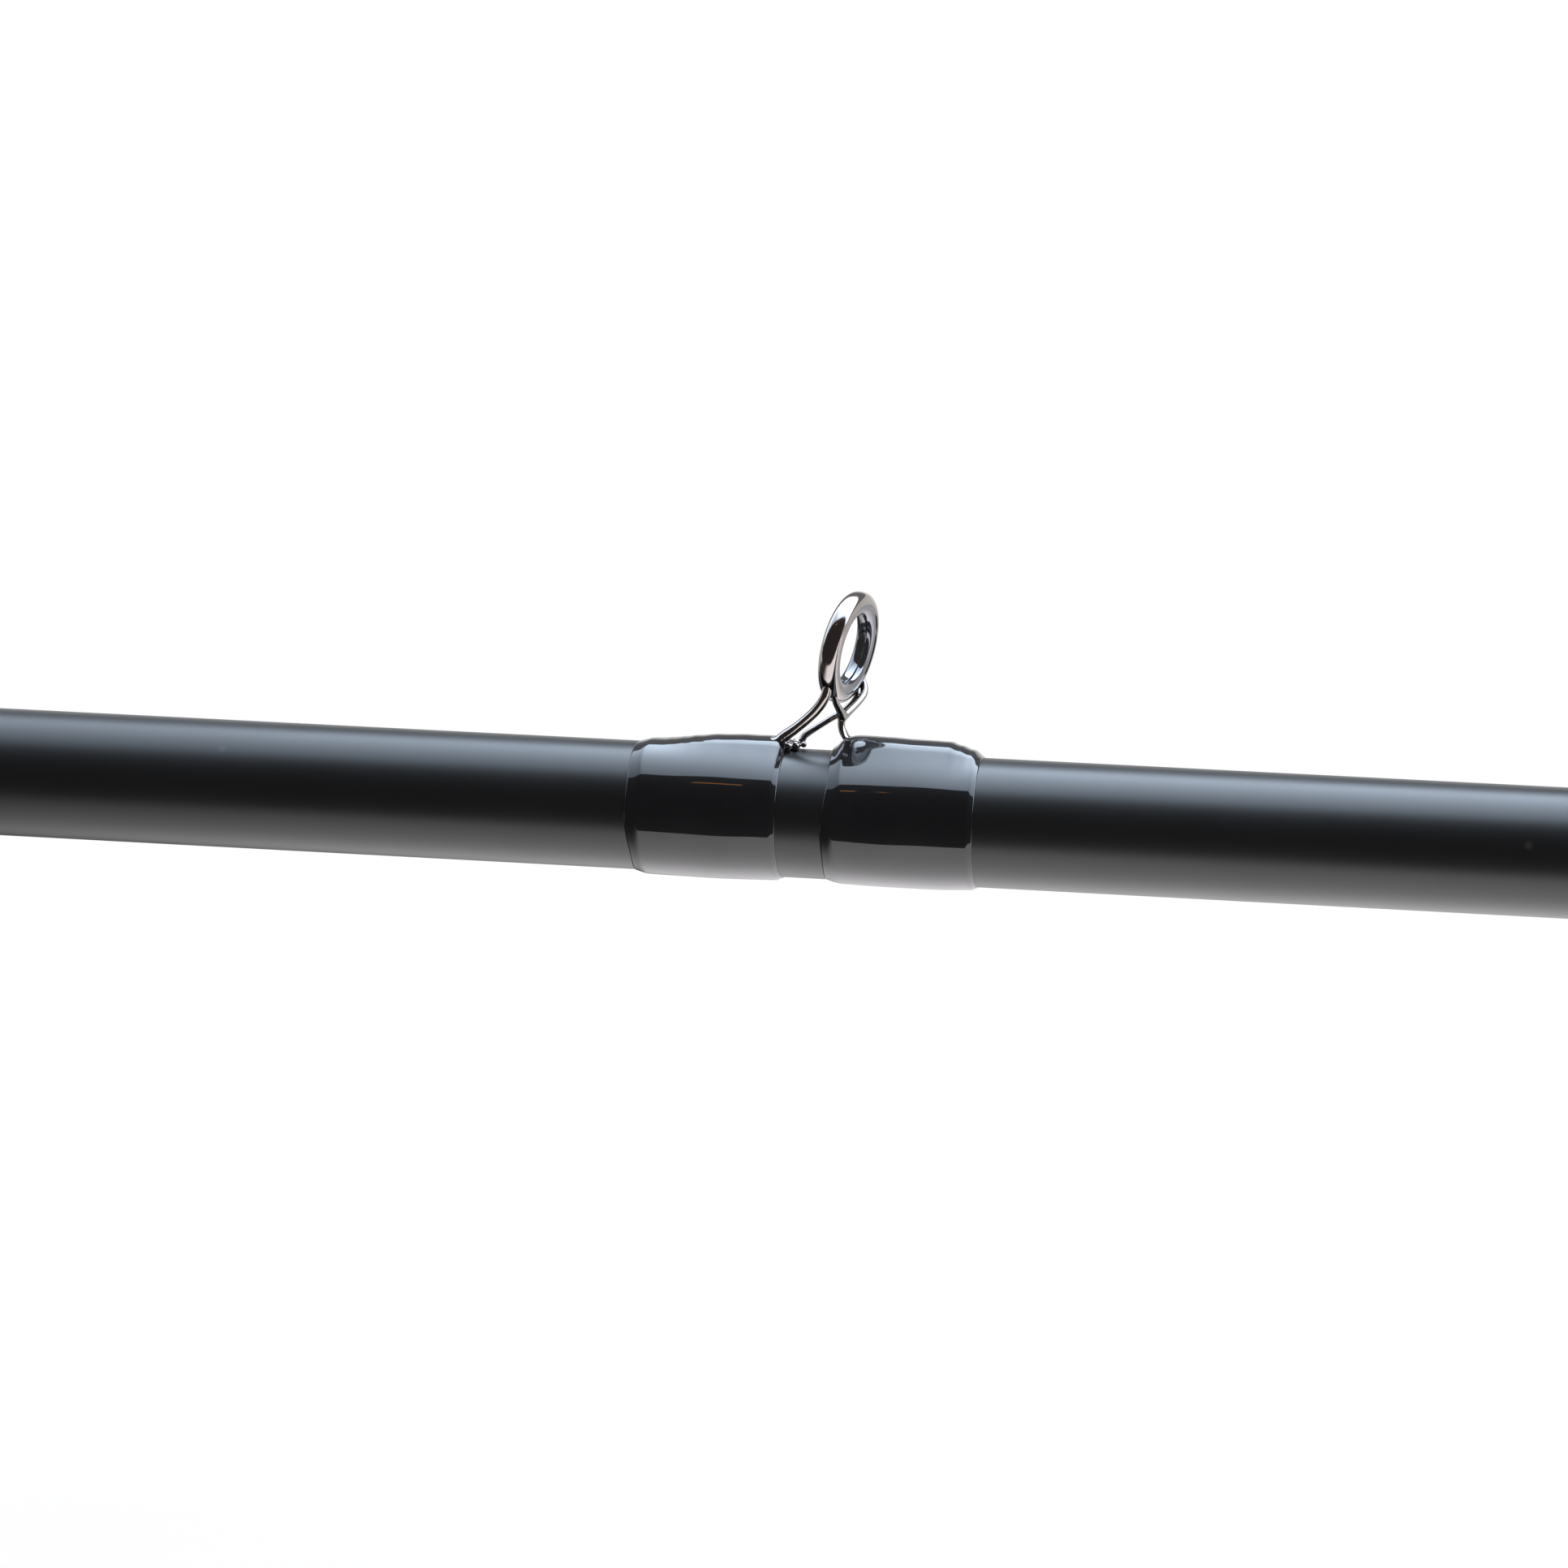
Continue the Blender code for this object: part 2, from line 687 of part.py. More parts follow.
def ring_outline(outer, inner, half_length, crown):
    """A ring's section: straight outside, and crowned where the line runs."""
    return [
        (-half_length, outer), (half_length, outer),
        (half_length, inner + crown), (0.4 * half_length, inner),
        (-0.4 * half_length, inner), (-half_length, inner + crown),
    ]


def ring_point(size, turn, twist=0.0, forward=0.0):
    """A point on the middle of the ring's band, turn radians round from its top."""
    radius = (size.band + size.insert + RING_GAP) / 2
    up = Vector((math.sin(GUIDE_LEAN), 0, math.cos(GUIDE_LEAN)))
    ahead = Vector((math.cos(GUIDE_LEAN), 0, -math.sin(GUIDE_LEAN)))
    across = Vector((0, 1, 0))
    reach = radius * (up * math.cos(turn) + across * math.sin(turn)) + ahead * forward
    reach.rotate(Matrix.Rotation(twist, 3, "Z"))
    return Vector((0, 0, size.height)) + reach


def make_ring(name, size, twist=0.0):
    """The hard insert that the line runs on."""
    half = size.band_half + INSERT_PROUD
    outline = ring_outline(size.insert, size.bore, half, (size.insert - size.bore) / 2)
    obj = turned(name, outline, RING_STEPS, SEAT_MIDDLE, size.height, GUIDE_LEAN, twist)
    return paint(obj, CERAMIC)


def make_band(name, size, twist=0.0):
    """The frame's band, which holds the insert."""
    inner = size.insert + RING_GAP
    half = size.band_half
    outline = [(-half, size.band), (half, size.band), (half, inner), (-half, inner)]
    return turned(name, outline, RING_STEPS, SEAT_MIDDLE, size.height, GUIDE_LEAN, twist)


def foot_strip(name, size, near, far):
    """A flat foot, narrowing and thinning to its far end."""
    thickness = 2 * size.wire
    strip = block(
        name, (min(near, far), -size.foot_width / 2, 0), (max(near, far), size.foot_width / 2, thickness))
    strip = settle(strip)
    for vertex in strip.data.vertices:
        if abs(vertex.co.x - far) < abs(vertex.co.x - near):
            vertex.co.y *= FOOT_TIP_WIDTH
            vertex.co.z *= FOOT_TIP_THICKNESS
    return strip


def make_guide_frame(name, size, twist):
    """The frame at the origin: band, two long legs, two short legs on a stem, and two feet."""
    butt_start, butt_length = size.butt_foot
    tip_start, tip_length = size.tip_foot
    lift = LEG_LIFT * size.wire
    apex = Vector((0, 0, ring_point(size, math.pi).z - APEX_DROP * size.band))
    pieces = [
        foot_strip("butt_foot", size, butt_start + 2 * size.wire, butt_start - butt_length),
        foot_strip("tip_foot", size, tip_start, tip_start + tip_length),
        wire(
            "stem",
            [
                apex + Vector((-0.15 * size.wire, 0, size.wire)),
                (0.3 * tip_start, 0, (apex.z + lift) / 2),
                (0.8 * tip_start, 0, lift + 0.6 * size.wire),
                (tip_start + size.wire, 0, lift),
                (tip_start + 3 * size.wire, 0, lift),
            ],
            size.wire,
        ),
    ]
    for side in (-1, 1):
        top = ring_point(size, side * LONG_LEG_TURN, twist)
        land = Vector((butt_start + size.wire, LEG_SPREAD * side * size.wire, lift))
        knee = Vector((0.37 * butt_start, side * 0.55 * abs(top.y), 0.45 * top.z))
        pieces.append(wire("long_leg", bend(top, knee, land, 4), size.wire))
    forward = [
        ring_point(size, side * SHORT_LEG_TURN, twist, SHORT_LEG_FORWARD * size.band) for side in (-1, 1)]
    pieces.append(wire("short_legs", [forward[0], apex, forward[1]], 0.9 * size.wire))
    frame = combine(make_band(name, size, twist), pieces, "UNION")
    return paint(frame, STEEL)


def make_guides():
    """Every guide, copied from one mesh for each size and twist, with the wraps on its feet."""
    meshes = {}
    for number, (size, from_tip, twist) in enumerate(GUIDES, start=1):
        label = f"guide_{number}"
        station = ROD_LENGTH - from_tip
        butt_start, butt_length = size.butt_foot
        tip_start, tip_length = size.tip_foot
        base = blank_radius(station + butt_start - butt_length) + GLUE_GAP
        if (size.band, twist) not in meshes:
            frame = make_guide_frame("frame", size, twist)
            ring = make_ring("ring", size, twist)
            meshes[size.band, twist] = (frame.data, ring.data)
            bpy.data.objects.remove(frame, do_unlink=True)
            bpy.data.objects.remove(ring, do_unlink=True)
        frame_mesh, ring_mesh = meshes[size.band, twist]
        place_copy(label + "_frame", frame_mesh, station, base, STEEL)
        place_copy(label + "_ring", ring_mesh, station, base, CERAMIC)
        foot = (size.foot_width / 2, base + 2 * size.wire)
        butt_end = station + butt_start - WRAP_MARGIN
        thread_wrap(label + "_butt_wrap", butt_end - butt_length, butt_end, foot)
        tip_begin = station + tip_start + WRAP_MARGIN
        thread_wrap(label + "_tip_wrap", tip_begin, tip_begin + tip_length, foot)


def make_tip_top():
    """A tube over the blank's end, with a ring standing on it and two braces."""
    bore = blank_radius(TIP_TUBE_START) + GLUE_GAP
    outer = bore + TIP_TUBE_WALL
    tube = turned("tip_top_frame", [
        (BLANK_END + FACE_GAP, 0),
        (BLANK_END + FACE_GAP, bore),
        (TIP_TUBE_START, bore),
        (TIP_TUBE_START, outer),
        (TIP_TUBE_END - TIP_TUBE_CORNER, outer),
        (TIP_TUBE_END, outer - TIP_TUBE_CORNER),
        (TIP_TUBE_END, 0),
    ], RING_STEPS)
    height = outer + SMALL.band - TIP_RING_SINK
    ring_x = along(TIP_TUBE_END) - TIP_RING_BACK
    shift = Vector((ring_x, 0, height - SMALL.height))
    pieces = [make_band("band", SMALL)]
    for side in (-1, 1):
        top = ring_point(SMALL, side * math.radians(100))
        land = Vector((-TIP_BRACE_REACH, side * 0.6 * outer, SMALL.height - height + 0.75 * outer))
        pieces.append(wire("brace", bend(top, (top + land) / 2, land, 2), SMALL.wire))
    for piece in pieces:
        piece.data.transform(Matrix.Translation(shift))
    paint(combine(tube, pieces, "UNION"), STEEL)
    ring = make_ring("tip_top_ring", SMALL)
    ring.data.transform(Matrix.Translation(shift))
    end = TIP_TUBE_START - FACE_GAP
    thread_wrap("tip_top_wrap", end - TIP_WRAP_LENGTH, end)


clear_scene()
PIECES = make_collection(OBJECT_NAME)
CUTTERS = make_collection("cutters", hidden=True)

CARBON = make_material("satin_carbon", (0.012, 0.012, 0.013), 0.42)
THREAD = make_material("epoxy_black_thread", (0.006, 0.006, 0.007), 0.06)
STEEL = make_material("polished_steel", (0.62, 0.60, 0.58), 0.12, 1.0)
CERAMIC = make_material("polished_ring", (0.30, 0.30, 0.31), 0.08, 0.9)
ALUMINIUM = make_material("grey_aluminium", (0.22, 0.22, 0.24), 0.3, 1.0)
GRAPHITE = make_material("black_graphite", (0.02, 0.02, 0.021), 0.35)
FOAM = make_material("black_foam", (0.03, 0.03, 0.031), 0.9)
RUBBER = make_material("black_rubber", (0.025, 0.025, 0.025), 0.75)
CORK = make_material("arbor_cork", (0.45, 0.33, 0.22), 0.9)

make_blank()
make_spigot()
make_ferrule_wraps()
make_butt_cap()
make_grips()
make_seat_body()
make_arbors()
make_hoods()
make_lock_nut()
make_keeper_base()
make_keeper_loop()
make_guides()
make_tip_top()
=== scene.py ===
import json
import math

import bmesh
import bpy
from mathutils import Matrix, Vector

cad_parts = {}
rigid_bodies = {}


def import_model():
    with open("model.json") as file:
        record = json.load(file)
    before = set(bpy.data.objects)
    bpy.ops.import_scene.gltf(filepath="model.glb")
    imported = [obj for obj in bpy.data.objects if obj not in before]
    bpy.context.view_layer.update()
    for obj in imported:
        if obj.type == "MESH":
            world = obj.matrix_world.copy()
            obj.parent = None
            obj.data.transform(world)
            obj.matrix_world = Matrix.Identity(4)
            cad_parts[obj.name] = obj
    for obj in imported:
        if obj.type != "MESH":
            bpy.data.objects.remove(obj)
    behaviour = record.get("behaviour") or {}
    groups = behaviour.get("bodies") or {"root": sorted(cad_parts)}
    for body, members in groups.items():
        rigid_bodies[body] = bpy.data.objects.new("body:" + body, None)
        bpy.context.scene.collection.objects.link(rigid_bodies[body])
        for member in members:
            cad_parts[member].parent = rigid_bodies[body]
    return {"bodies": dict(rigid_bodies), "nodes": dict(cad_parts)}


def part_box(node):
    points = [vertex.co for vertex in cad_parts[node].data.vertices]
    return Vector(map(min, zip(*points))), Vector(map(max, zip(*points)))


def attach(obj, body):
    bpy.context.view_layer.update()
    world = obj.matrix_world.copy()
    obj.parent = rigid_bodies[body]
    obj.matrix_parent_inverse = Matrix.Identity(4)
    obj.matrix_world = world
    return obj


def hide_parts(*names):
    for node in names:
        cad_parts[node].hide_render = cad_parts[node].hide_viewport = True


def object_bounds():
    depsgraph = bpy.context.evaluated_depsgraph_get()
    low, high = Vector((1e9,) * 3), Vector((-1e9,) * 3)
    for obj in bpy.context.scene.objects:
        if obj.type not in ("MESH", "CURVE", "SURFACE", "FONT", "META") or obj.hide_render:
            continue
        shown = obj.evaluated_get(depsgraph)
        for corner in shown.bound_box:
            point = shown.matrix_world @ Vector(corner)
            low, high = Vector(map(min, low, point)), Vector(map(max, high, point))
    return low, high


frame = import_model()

bl_info = {
    "name": "Spinning rod looks",
    "version": (1, 0, 0),
    "blender": (4, 5, 0),
    "location": "View3D > Sidebar > Rod",
    "description": "Finished surfaces for a two-piece spinning rod, its guides, wraps and handle",
    "category": "Add Mesh",
}

MM = 0.001
CAD_LOW, CAD_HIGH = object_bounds()
BUTT_TO_ORIGIN = -CAD_LOW.x
BENT_GUIDE = 3

# Sizes shared by pieces that fit each other
GLUE_GAP = 0.12 * MM
RUNNING_GAP = 0.3 * MM
BLANK_WALL = 0.9 * MM
SEAT_BORE = 7.5 * MM
SEAT_FLANGE = 6.0 * MM
BED_FROM_REAR = 46.0 * MM
BED_FROM_FLANGE = 7.3 * MM
HOOD_LENGTH = 24.0 * MM
HOOD_RADIUS = 14.2 * MM
HOOD_DOME_CENTRE = 6.5 * MM
HOOD_MOUTH = 12.0 * MM
KEEPER_WIRE = 0.4 * MM
KEEPER_CORNER = 0.8 * MM

# The studio, in metres from the rod's axis
CARD_BUTT_END, CARD_TIP_END = -3.5, 5.0
SOFTBOX_NEAR, SOFTBOX_FAR, SOFTBOX_HEIGHT = -0.375, 0.37, 0.60
TABLE_NEAR, TABLE_FAR, TABLE_LIFT = -0.41, 1.1, 0.012
FLOOR_REACH = 30.0

BODIES = {node: name for name, empty in frame["bodies"].items() for node in frame["nodes"]
          if frame["nodes"][node].parent == empty}


# Sizes and colours that a user would change


def millimetres(name, description, default):
    """A length property whose default is given in millimetres."""
    return bpy.props.FloatProperty(
        name=name, description=description, default=default * MM, unit="LENGTH", precision=5)


def colour(name, description, default):
    return bpy.props.FloatVectorProperty(
        name=name, description=description, default=default, subtype="COLOR", size=3, min=0, max=1)


def number(name, description, default):
    return bpy.props.FloatProperty(name=name, description=description, default=default)


def angle(name, description, degrees):
    return bpy.props.FloatProperty(
        name=name, description=description, default=math.radians(degrees), subtype="ANGLE")


class RodBlankSettings(bpy.types.PropertyGroup):
    butt_diameter: millimetres("Butt diameter", "Blank across its butt end", 13.1)
    knee_diameter: millimetres("Knee diameter", "Blank where the quick taper starts", 8.0)
    tip_diameter: millimetres("Tip diameter", "Blank across its tip end", 2.6)
    length: millimetres("Rod length", "From the butt cap to the tip-top's end", 2130)
    knee_from_tip: millimetres("Knee from tip", "Where the quick taper starts", 660)
    carbon: colour("Carbon", "Colour of the blank", (0.0032, 0.0032, 0.0034))
    roughness: number("Satin", "Roughness of the blank's finish", 0.36)
    hairline: millimetres("Hairline depth", "Depth of the sanding lines round the blank", 0.0022)


class RodWrapSettings(bpy.types.PropertyGroup):
    wall: millimetres("Wall", "Thread and epoxy over the blank", 0.21)
    crown: millimetres("Crown", "Extra epoxy at the middle of a wrap", 0.10)
    butt_shoulder: millimetres("Butt shoulder", "Length of the epoxy's taper towards the butt", 0.9)
    tip_shoulder: millimetres("Tip shoulder", "Length of the epoxy's taper towards the tip", 0.45)
    end_wall: millimetres("End wall", "Epoxy at the very end of a wrap", 0.03)
    waviness: millimetres("Waviness", "How uneven the epoxy lies", 0.012)
    thread_pitch: millimetres("Thread pitch", "From one turn of thread to the next", 0.16)
    thread: colour("Thread", "Colour of the thread under its epoxy", (0.003, 0.0028, 0.0038))


class RodGuideSettings(bpy.types.PropertyGroup):
    lean: angle("Lean", "Rings lean towards the tip", 11.4)
    bent_twist: angle("Bent ring", "How far the third guide's ring is bent round", -11.5)
    weld: number("Weld", "Blend between wires, as a share of the wire", 0.16)
    steel: colour("Frame steel", "Colour of the guide frames", (0.34, 0.31, 0.295))
    ring: colour("Ring", "Colour of the polished rings", (0.20, 0.20, 0.215))


class RodHandleSettings(bpy.types.PropertyGroup):
    grip_radius: millimetres("Grip radius", "Grips at the reel seat", 12.6)
    nose_radius: millimetres("Nose radius", "Front end of the fore grip", 9.0)
    barrel_radius: millimetres("Barrel radius", "Reel seat's threaded barrel", 11.2)
    bed_height: millimetres("Bed height", "Flat that the reel's foot lies on", 9.9)
    thread_pitch: millimetres("Barrel thread pitch", "Lead of the lock nut's thread", 2.0)
    nut_radius: millimetres("Nut radius", "Lock nut over its ribs", 14.4)
    nut_ribs: bpy.props.IntProperty(name="Nut ribs", description="Ribs round the nut", default=36)
    foam: colour("Foam", "Colour of the grips", (0.022, 0.022, 0.024))
    cork: colour("Cork", "Colour of the arbors", (0.42, 0.29, 0.17))


class RodStageSettings(bpy.types.PropertyGroup):
    camera_turn: angle("Camera turn", "Round the rod towards its tip", 10.46)
    camera_height: angle("Camera height", "Above the rod", 4.0)
    camera_roll: angle("Camera roll", "Tilt of the camera", 2.16)
    camera_distance: millimetres("Camera distance", "From the camera to its target", 241.15)
    camera_field: angle("Camera field", "Angle of view across the frame", 23.41)
    target_ahead: millimetres("Target", "Target from the third guide's ring", -3.83)
    target_height: millimetres("Target height", "Target over the rod's axis", 1.81)
    surround: number("Surround", "Brightness of the white surround", 1.12)
    softbox: number("Softbox", "Brightness of the overhead softbox", 12.0)
    softbox_colour: colour("Softbox colour", "Cool daylight", (0.70, 0.83, 1.0))
    table: number("Table", "Brightness of the lit table below", 3.0)
    dark_side: colour("Dark side", "Unlit side of the studio", (0.060, 0.052, 0.050))
    dark_back: colour("Dark back", "Unlit ceiling behind the softbox", (0.32, 0.32, 0.33))
    floor_colour: colour("Floor colour", "Pale floor", (0.93, 0.93, 0.93))
    floor_depth: millimetres("Floor depth", "Floor below the rod's axis", 350)


def settings(name):
    """One of the scene's groups of settings."""
    return getattr(bpy.context.scene, name)


# Shader nodes written as expressions


class Socket:
    """An output socket that arithmetic can be written on."""

    def __init__(self, tree, socket):
        self.tree = tree
        self.socket = socket

    def math(self, operation, *others, clamp=False):
        made = self.tree.node("ShaderNodeMath", {"operation": operation, "use_clamp": clamp},
                              {0: self, **dict(enumerate(others, start=1))})
        return made.out(0)

    def __add__(self, other):
        return self.math("ADD", other)

    def __sub__(self, other):
        return self.math("SUBTRACT", other)

    def __rsub__(self, other):
        return (self * -1.0).math("ADD", other)

    def __mul__(self, other):
        return self.math("MULTIPLY", other)

    def __truediv__(self, other):
        return self.math("DIVIDE", other)

    def clamp(self):
        return self.math("ADD", 0.0, clamp=True)


class Made:
    """A node that was made, whose outputs are Sockets."""

    def __init__(self, tree, node):
        self.tree = tree
        self.raw = node

    def out(self, key):
        return Socket(self.tree, self.raw.outputs[key])


class Shader:
    """A material's node tree, with one method that adds any node."""

    def __init__(self, owner):
        owner.use_nodes = True
        self.nodes = owner.node_tree.nodes
        self.links = owner.node_tree.links

    def node(self, kind, setup=None, inputs=None):
        made = self.nodes.new(kind)
        for key, value in (setup or {}).items():
            if key == "stops":
                self.set_stops(made.color_ramp, value)
            else:
                setattr(made, key, value)
        self.fill(made, inputs or {})
        return Made(self, made)

    def fill(self, made, inputs):
        for key, value in inputs.items():
            if isinstance(value, Socket):
                self.links.new(value.socket, made.inputs[key])
            else:
                made.inputs[key].default_value = value

    def set_stops(self, ramp, stops):
        while len(ramp.elements) < len(stops):
            ramp.elements.new(1.0)
        for element, (place, shade) in zip(ramp.elements, stops):
            element.position = place
            element.color = (shade, shade, shade, 1.0)

    def place(self):
        """Object coordinates in metres."""
        return self.node("ShaderNodeTexCoord").out("Object")

    def stretched(self, scale):
        """Object coordinates, scaled by an amount along each axis."""
        return self.node("ShaderNodeMapping", {"vector_type": "POINT"},
                         {"Vector": self.place(), "Scale": scale}).out("Vector")

    def noise(self, vector, scale, detail=3.0, roughness=0.55):
        return self.node("ShaderNodeTexNoise", None, {
            "Vector": vector, "Scale": scale, "Detail": detail, "Roughness": roughness}).out("Fac")

    def cells(self, vector, scale):
        return self.node("ShaderNodeTexVoronoi", {"feature": "F1"},
                         {"Vector": vector, "Scale": scale}).out("Distance")

    def axes(self):
        made = self.node("ShaderNodeSeparateXYZ", None, {"Vector": self.place()})
        return made.out("X"), made.out("Y"), made.out("Z")

    def blend(self, share, low, high):
        """A colour between two colours."""
        def full(shade):
            return shade if isinstance(shade, Socket) else (*shade, 1.0)

        made = self.node("ShaderNodeMix", {"data_type": "RGBA"}, {0: share, 6: full(low), 7: full(high)})
        return made.out(2)

    def spread(self, value, low, high):
        """A value from 0 to 1 mapped to low to high."""
        return value * (high - low) + low

    def profile(self, value, stops):
        """A share looked up in a list of (place, share) stops."""
        low, high = stops[0][0], stops[-1][0]
        made = self.node("ShaderNodeValToRGB", {
            "stops": [((at - low) / (high - low), share) for at, share in stops]},
            {"Fac": (value - low) / (high - low)})
        return made.out("Color")

    def bump(self, height, distance, strength=1.0):
        return self.node("ShaderNodeBump", None, {
            "Height": height, "Distance": distance, "Strength": strength}).out("Normal")


def make_finish(name, constants):
    """A material, its Shader and its Principled node, with the constants set on the shader's sockets."""
    made = bpy.data.materials.new(name)
    shader = Shader(made)
    surface = shader.nodes["Principled BSDF"]
    shader.fill(surface, constants)
    return made, shader, surface


def satin_carbon():
    """Ground and painted carbon: faint sanding lines round the blank, and a few specks of dust."""
    blank = settings("rod_blank")
    made, shader, surface = make_finish("satin_carbon_finish", {"IOR": 1.5, "Metallic": 0.0})
    rings = shader.noise(shader.stretched((1.0, 0.012, 0.012)), 5200, 2.0)
    scratches = shader.noise(shader.stretched((1.0, 0.02, 0.02)), 900, 4.0, 0.7)
    broad = shader.noise(shader.stretched((1.0, 0.4, 0.4)), 60, 2.0)
    lines = (scratches - 0.64).math("MAXIMUM", 0.0) * 3.0
    specks = 1.0 - (shader.cells(shader.place(), 210) * 13.0).clamp()
    dust = shader.blend((specks * 0.3 + lines * 0.12).clamp(), tuple(blank.carbon), (0.08, 0.08, 0.085))
    shader.fill(surface, {
        "Base Color": dust,
        "Roughness": shader.spread(broad, blank.roughness - 0.05, blank.roughness + 0.05) + lines * 0.2,
        "Normal": shader.bump(rings * 0.5 + scratches, blank.hairline),
    })
    return made


def epoxy_thread():
    """Black thread turns, faint under a thick clear coat that levels out to a wet gloss."""
    wraps = settings("rod_wraps")
    made, shader, surface = make_finish("epoxy_thread_finish", {
        "IOR": 1.15, "Coat Weight": 1.0, "Coat Roughness": 0.03, "Coat IOR": 1.5, "Roughness": 0.45})
    across = shader.axes()[0]
    turns = (across * (math.tau / wraps.thread_pitch)).math("SINE")
    uneven = shader.noise(shader.place(), 420, 2.0)
    broad = shader.noise(shader.stretched((1.0, 0.5, 0.5)), 130, 1.0)
    shade = shader.blend((turns * 0.25 + uneven * 0.5).clamp(), tuple(wraps.thread), (0.006, 0.006, 0.0075))
    shader.fill(surface, {
        "Base Color": shade,
        "Coat Weight": shader.spread(broad, 0.94, 1.0),
        "Roughness": shader.spread(uneven, 0.36, 0.5),
        "Normal": shader.bump(turns + uneven, 0.004 * MM, 0.6),
    })
    return made


def polished_steel():
    """Polished stainless wire and strip, with fine drawing marks."""
    guides = settings("rod_guides")
    made, shader, surface = make_finish("polished_steel_finish", {"Metallic": 1.0})
    drawn = shader.noise(shader.place(), 2600, 3.0)
    cloudy = shader.noise(shader.place(), 500, 2.0)
    steel = tuple(guides.steel)
    dull = tuple(part * 0.82 for part in steel)
    shader.fill(surface, {
        "Base Color": shader.blend(cloudy, steel, dull),
        "Roughness": shader.spread(drawn, 0.07, 0.16),
        "Normal": shader.bump(drawn, 0.0015 * MM),
    })
    return made


def polished_ring():
    """The hard insert: dark, mirror smooth, with the faintest lapping marks round the bore."""
    guides = settings("rod_guides")
    made, shader, surface = make_finish("polished_ring_finish", {"Metallic": 0.92})
    lapped = shader.noise(shader.place(), 1800, 2.0)
    ring = tuple(guides.ring)
    shader.fill(surface, {
        "Base Color": shader.blend(lapped, ring, tuple(part * 0.7 for part in ring)),
        "Roughness": shader.spread(lapped, 0.05, 0.10),
        "Normal": shader.bump(lapped, 0.001 * MM),
    })
    return made


def grey_aluminium():
    """Turned and anodised aluminium with lathe lines."""
    made, shader, surface = make_finish("grey_aluminium_finish", {"Metallic": 1.0})
    lathe_lines = shader.noise(shader.stretched((1.0, 0.02, 0.02)), 3600, 2.0)
    wear = shader.noise(shader.place(), 180, 5.0, 0.65)
    shader.fill(surface, {
        "Base Color": shader.blend(wear, (0.17, 0.17, 0.19), (0.27, 0.27, 0.29)),
        "Roughness": shader.spread(lathe_lines, 0.22, 0.38),
        "Normal": shader.bump(lathe_lines, 0.006 * MM),
    })
    return made


def black_graphite():
    """Moulded graphite-filled nylon with a fine stipple."""
    made, shader, surface = make_finish("black_graphite_finish", {"IOR": 1.5})
    stipple = shader.noise(shader.place(), 1500, 3.0)
    flow = shader.noise(shader.stretched((0.3, 1.0, 1.0)), 160, 4.0)
    shader.fill(surface, {
        "Base Color": shader.blend(flow, (0.014, 0.014, 0.015), (0.030, 0.030, 0.032)),
        "Roughness": shader.spread(flow, 0.30, 0.45),
        "Normal": shader.bump(stipple, 0.02 * MM, 0.6),
    })
    return made


def black_foam():
    """Closed-cell foam: small cut cells with painted shade darkening their hollows, and a polish where the
    hand rubs it.
    """
    handle = settings("rod_handle")
    made, shader, surface = make_finish("black_foam_finish", {"IOR": 1.45})
    cells = shader.cells(shader.place(), 2300)
    large = shader.cells(shader.place(), 900)
    rubbed = shader.noise(shader.place(), 45, 3.0)
    # painted shade: the colour is darkened in the hollows of the cut cells, where the bump sinks in
    pit_shade = (1.0 - cells * 1.7).clamp()
    foam = tuple(handle.foam)
    shader.fill(surface, {
        "Base Color": shader.blend((pit_shade * 0.6 + rubbed * 0.4).clamp(), tuple(part * 2.3 for part in foam),
                                   foam),
        "Roughness": shader.spread(rubbed, 0.62, 0.86),
        "Normal": shader.bump(cells + large * 0.7, 0.10 * MM, 0.8),
    })
    return made


def black_rubber():
    """Moulded rubber with a light bloom."""
    made, shader, surface = make_finish("black_rubber_finish", {"IOR": 1.52})
    bloom = shader.noise(shader.place(), 90, 5.0, 0.6)
    grain = shader.noise(shader.place(), 1900, 2.0)
    shader.fill(surface, {
        "Base Color": shader.blend(bloom, (0.016, 0.016, 0.017), (0.045, 0.044, 0.044)),
        "Roughness": shader.spread(bloom, 0.55, 0.75),
        "Normal": shader.bump(grain, 0.015 * MM, 0.7),
    })
    return made


def arbor_cork():
    """Composition cork: pressed granules of several browns."""
    handle = settings("rod_handle")
    made, shader, surface = make_finish("arbor_cork_finish", {"IOR": 1.4})
    granules = shader.node("ShaderNodeTexVoronoi", {"feature": "F1"}, {
        "Vector": shader.place(), "Scale": 700.0})
    tint = shader.node("ShaderNodeSeparateColor", None, {"Color": granules.out("Color")}).out(0)
    gaps = (granules.out("Distance") * 1.4).clamp()
    cork = tuple(handle.cork)
    shader.fill(surface, {
        "Base Color": shader.blend(tint, cork, tuple(part * 0.45 for part in cork)),
        "Roughness": shader.spread(tint, 0.75, 0.95),
        "Normal": shader.bump(1.0 - gaps, 0.08 * MM, 0.8),
    })
    return made


FINISHES = {
    "satin_carbon": satin_carbon,
    "epoxy_thread": epoxy_thread,
    "polished_steel": polished_steel,
    "polished_ring": polished_ring,
    "grey_aluminium": grey_aluminium,
    "black_graphite": black_graphite,
    "black_foam": black_foam,
    "black_rubber": black_rubber,
    "arbor_cork": arbor_cork,
}


def finish(name):
    """The material of a finish, made once."""
    return bpy.data.materials.get(name + "_finish") or FINISHES[name]()


# Mesh helpers


def blank_radius(x):
    """The blank's outer radius at an X: a slow taper to the knee, then a quick one."""
    blank = settings("rod_blank")
    station = x + BUTT_TO_ORIGIN
    knee = blank.length - blank.knee_from_tip
    if station <= knee:
        share = station / knee
        return (blank.butt_diameter + (blank.knee_diameter - blank.butt_diameter) * share) / 2
    share = (station - knee) / blank.knee_from_tip
    return (blank.knee_diameter + (blank.tip_diameter - blank.knee_diameter) * share) / 2


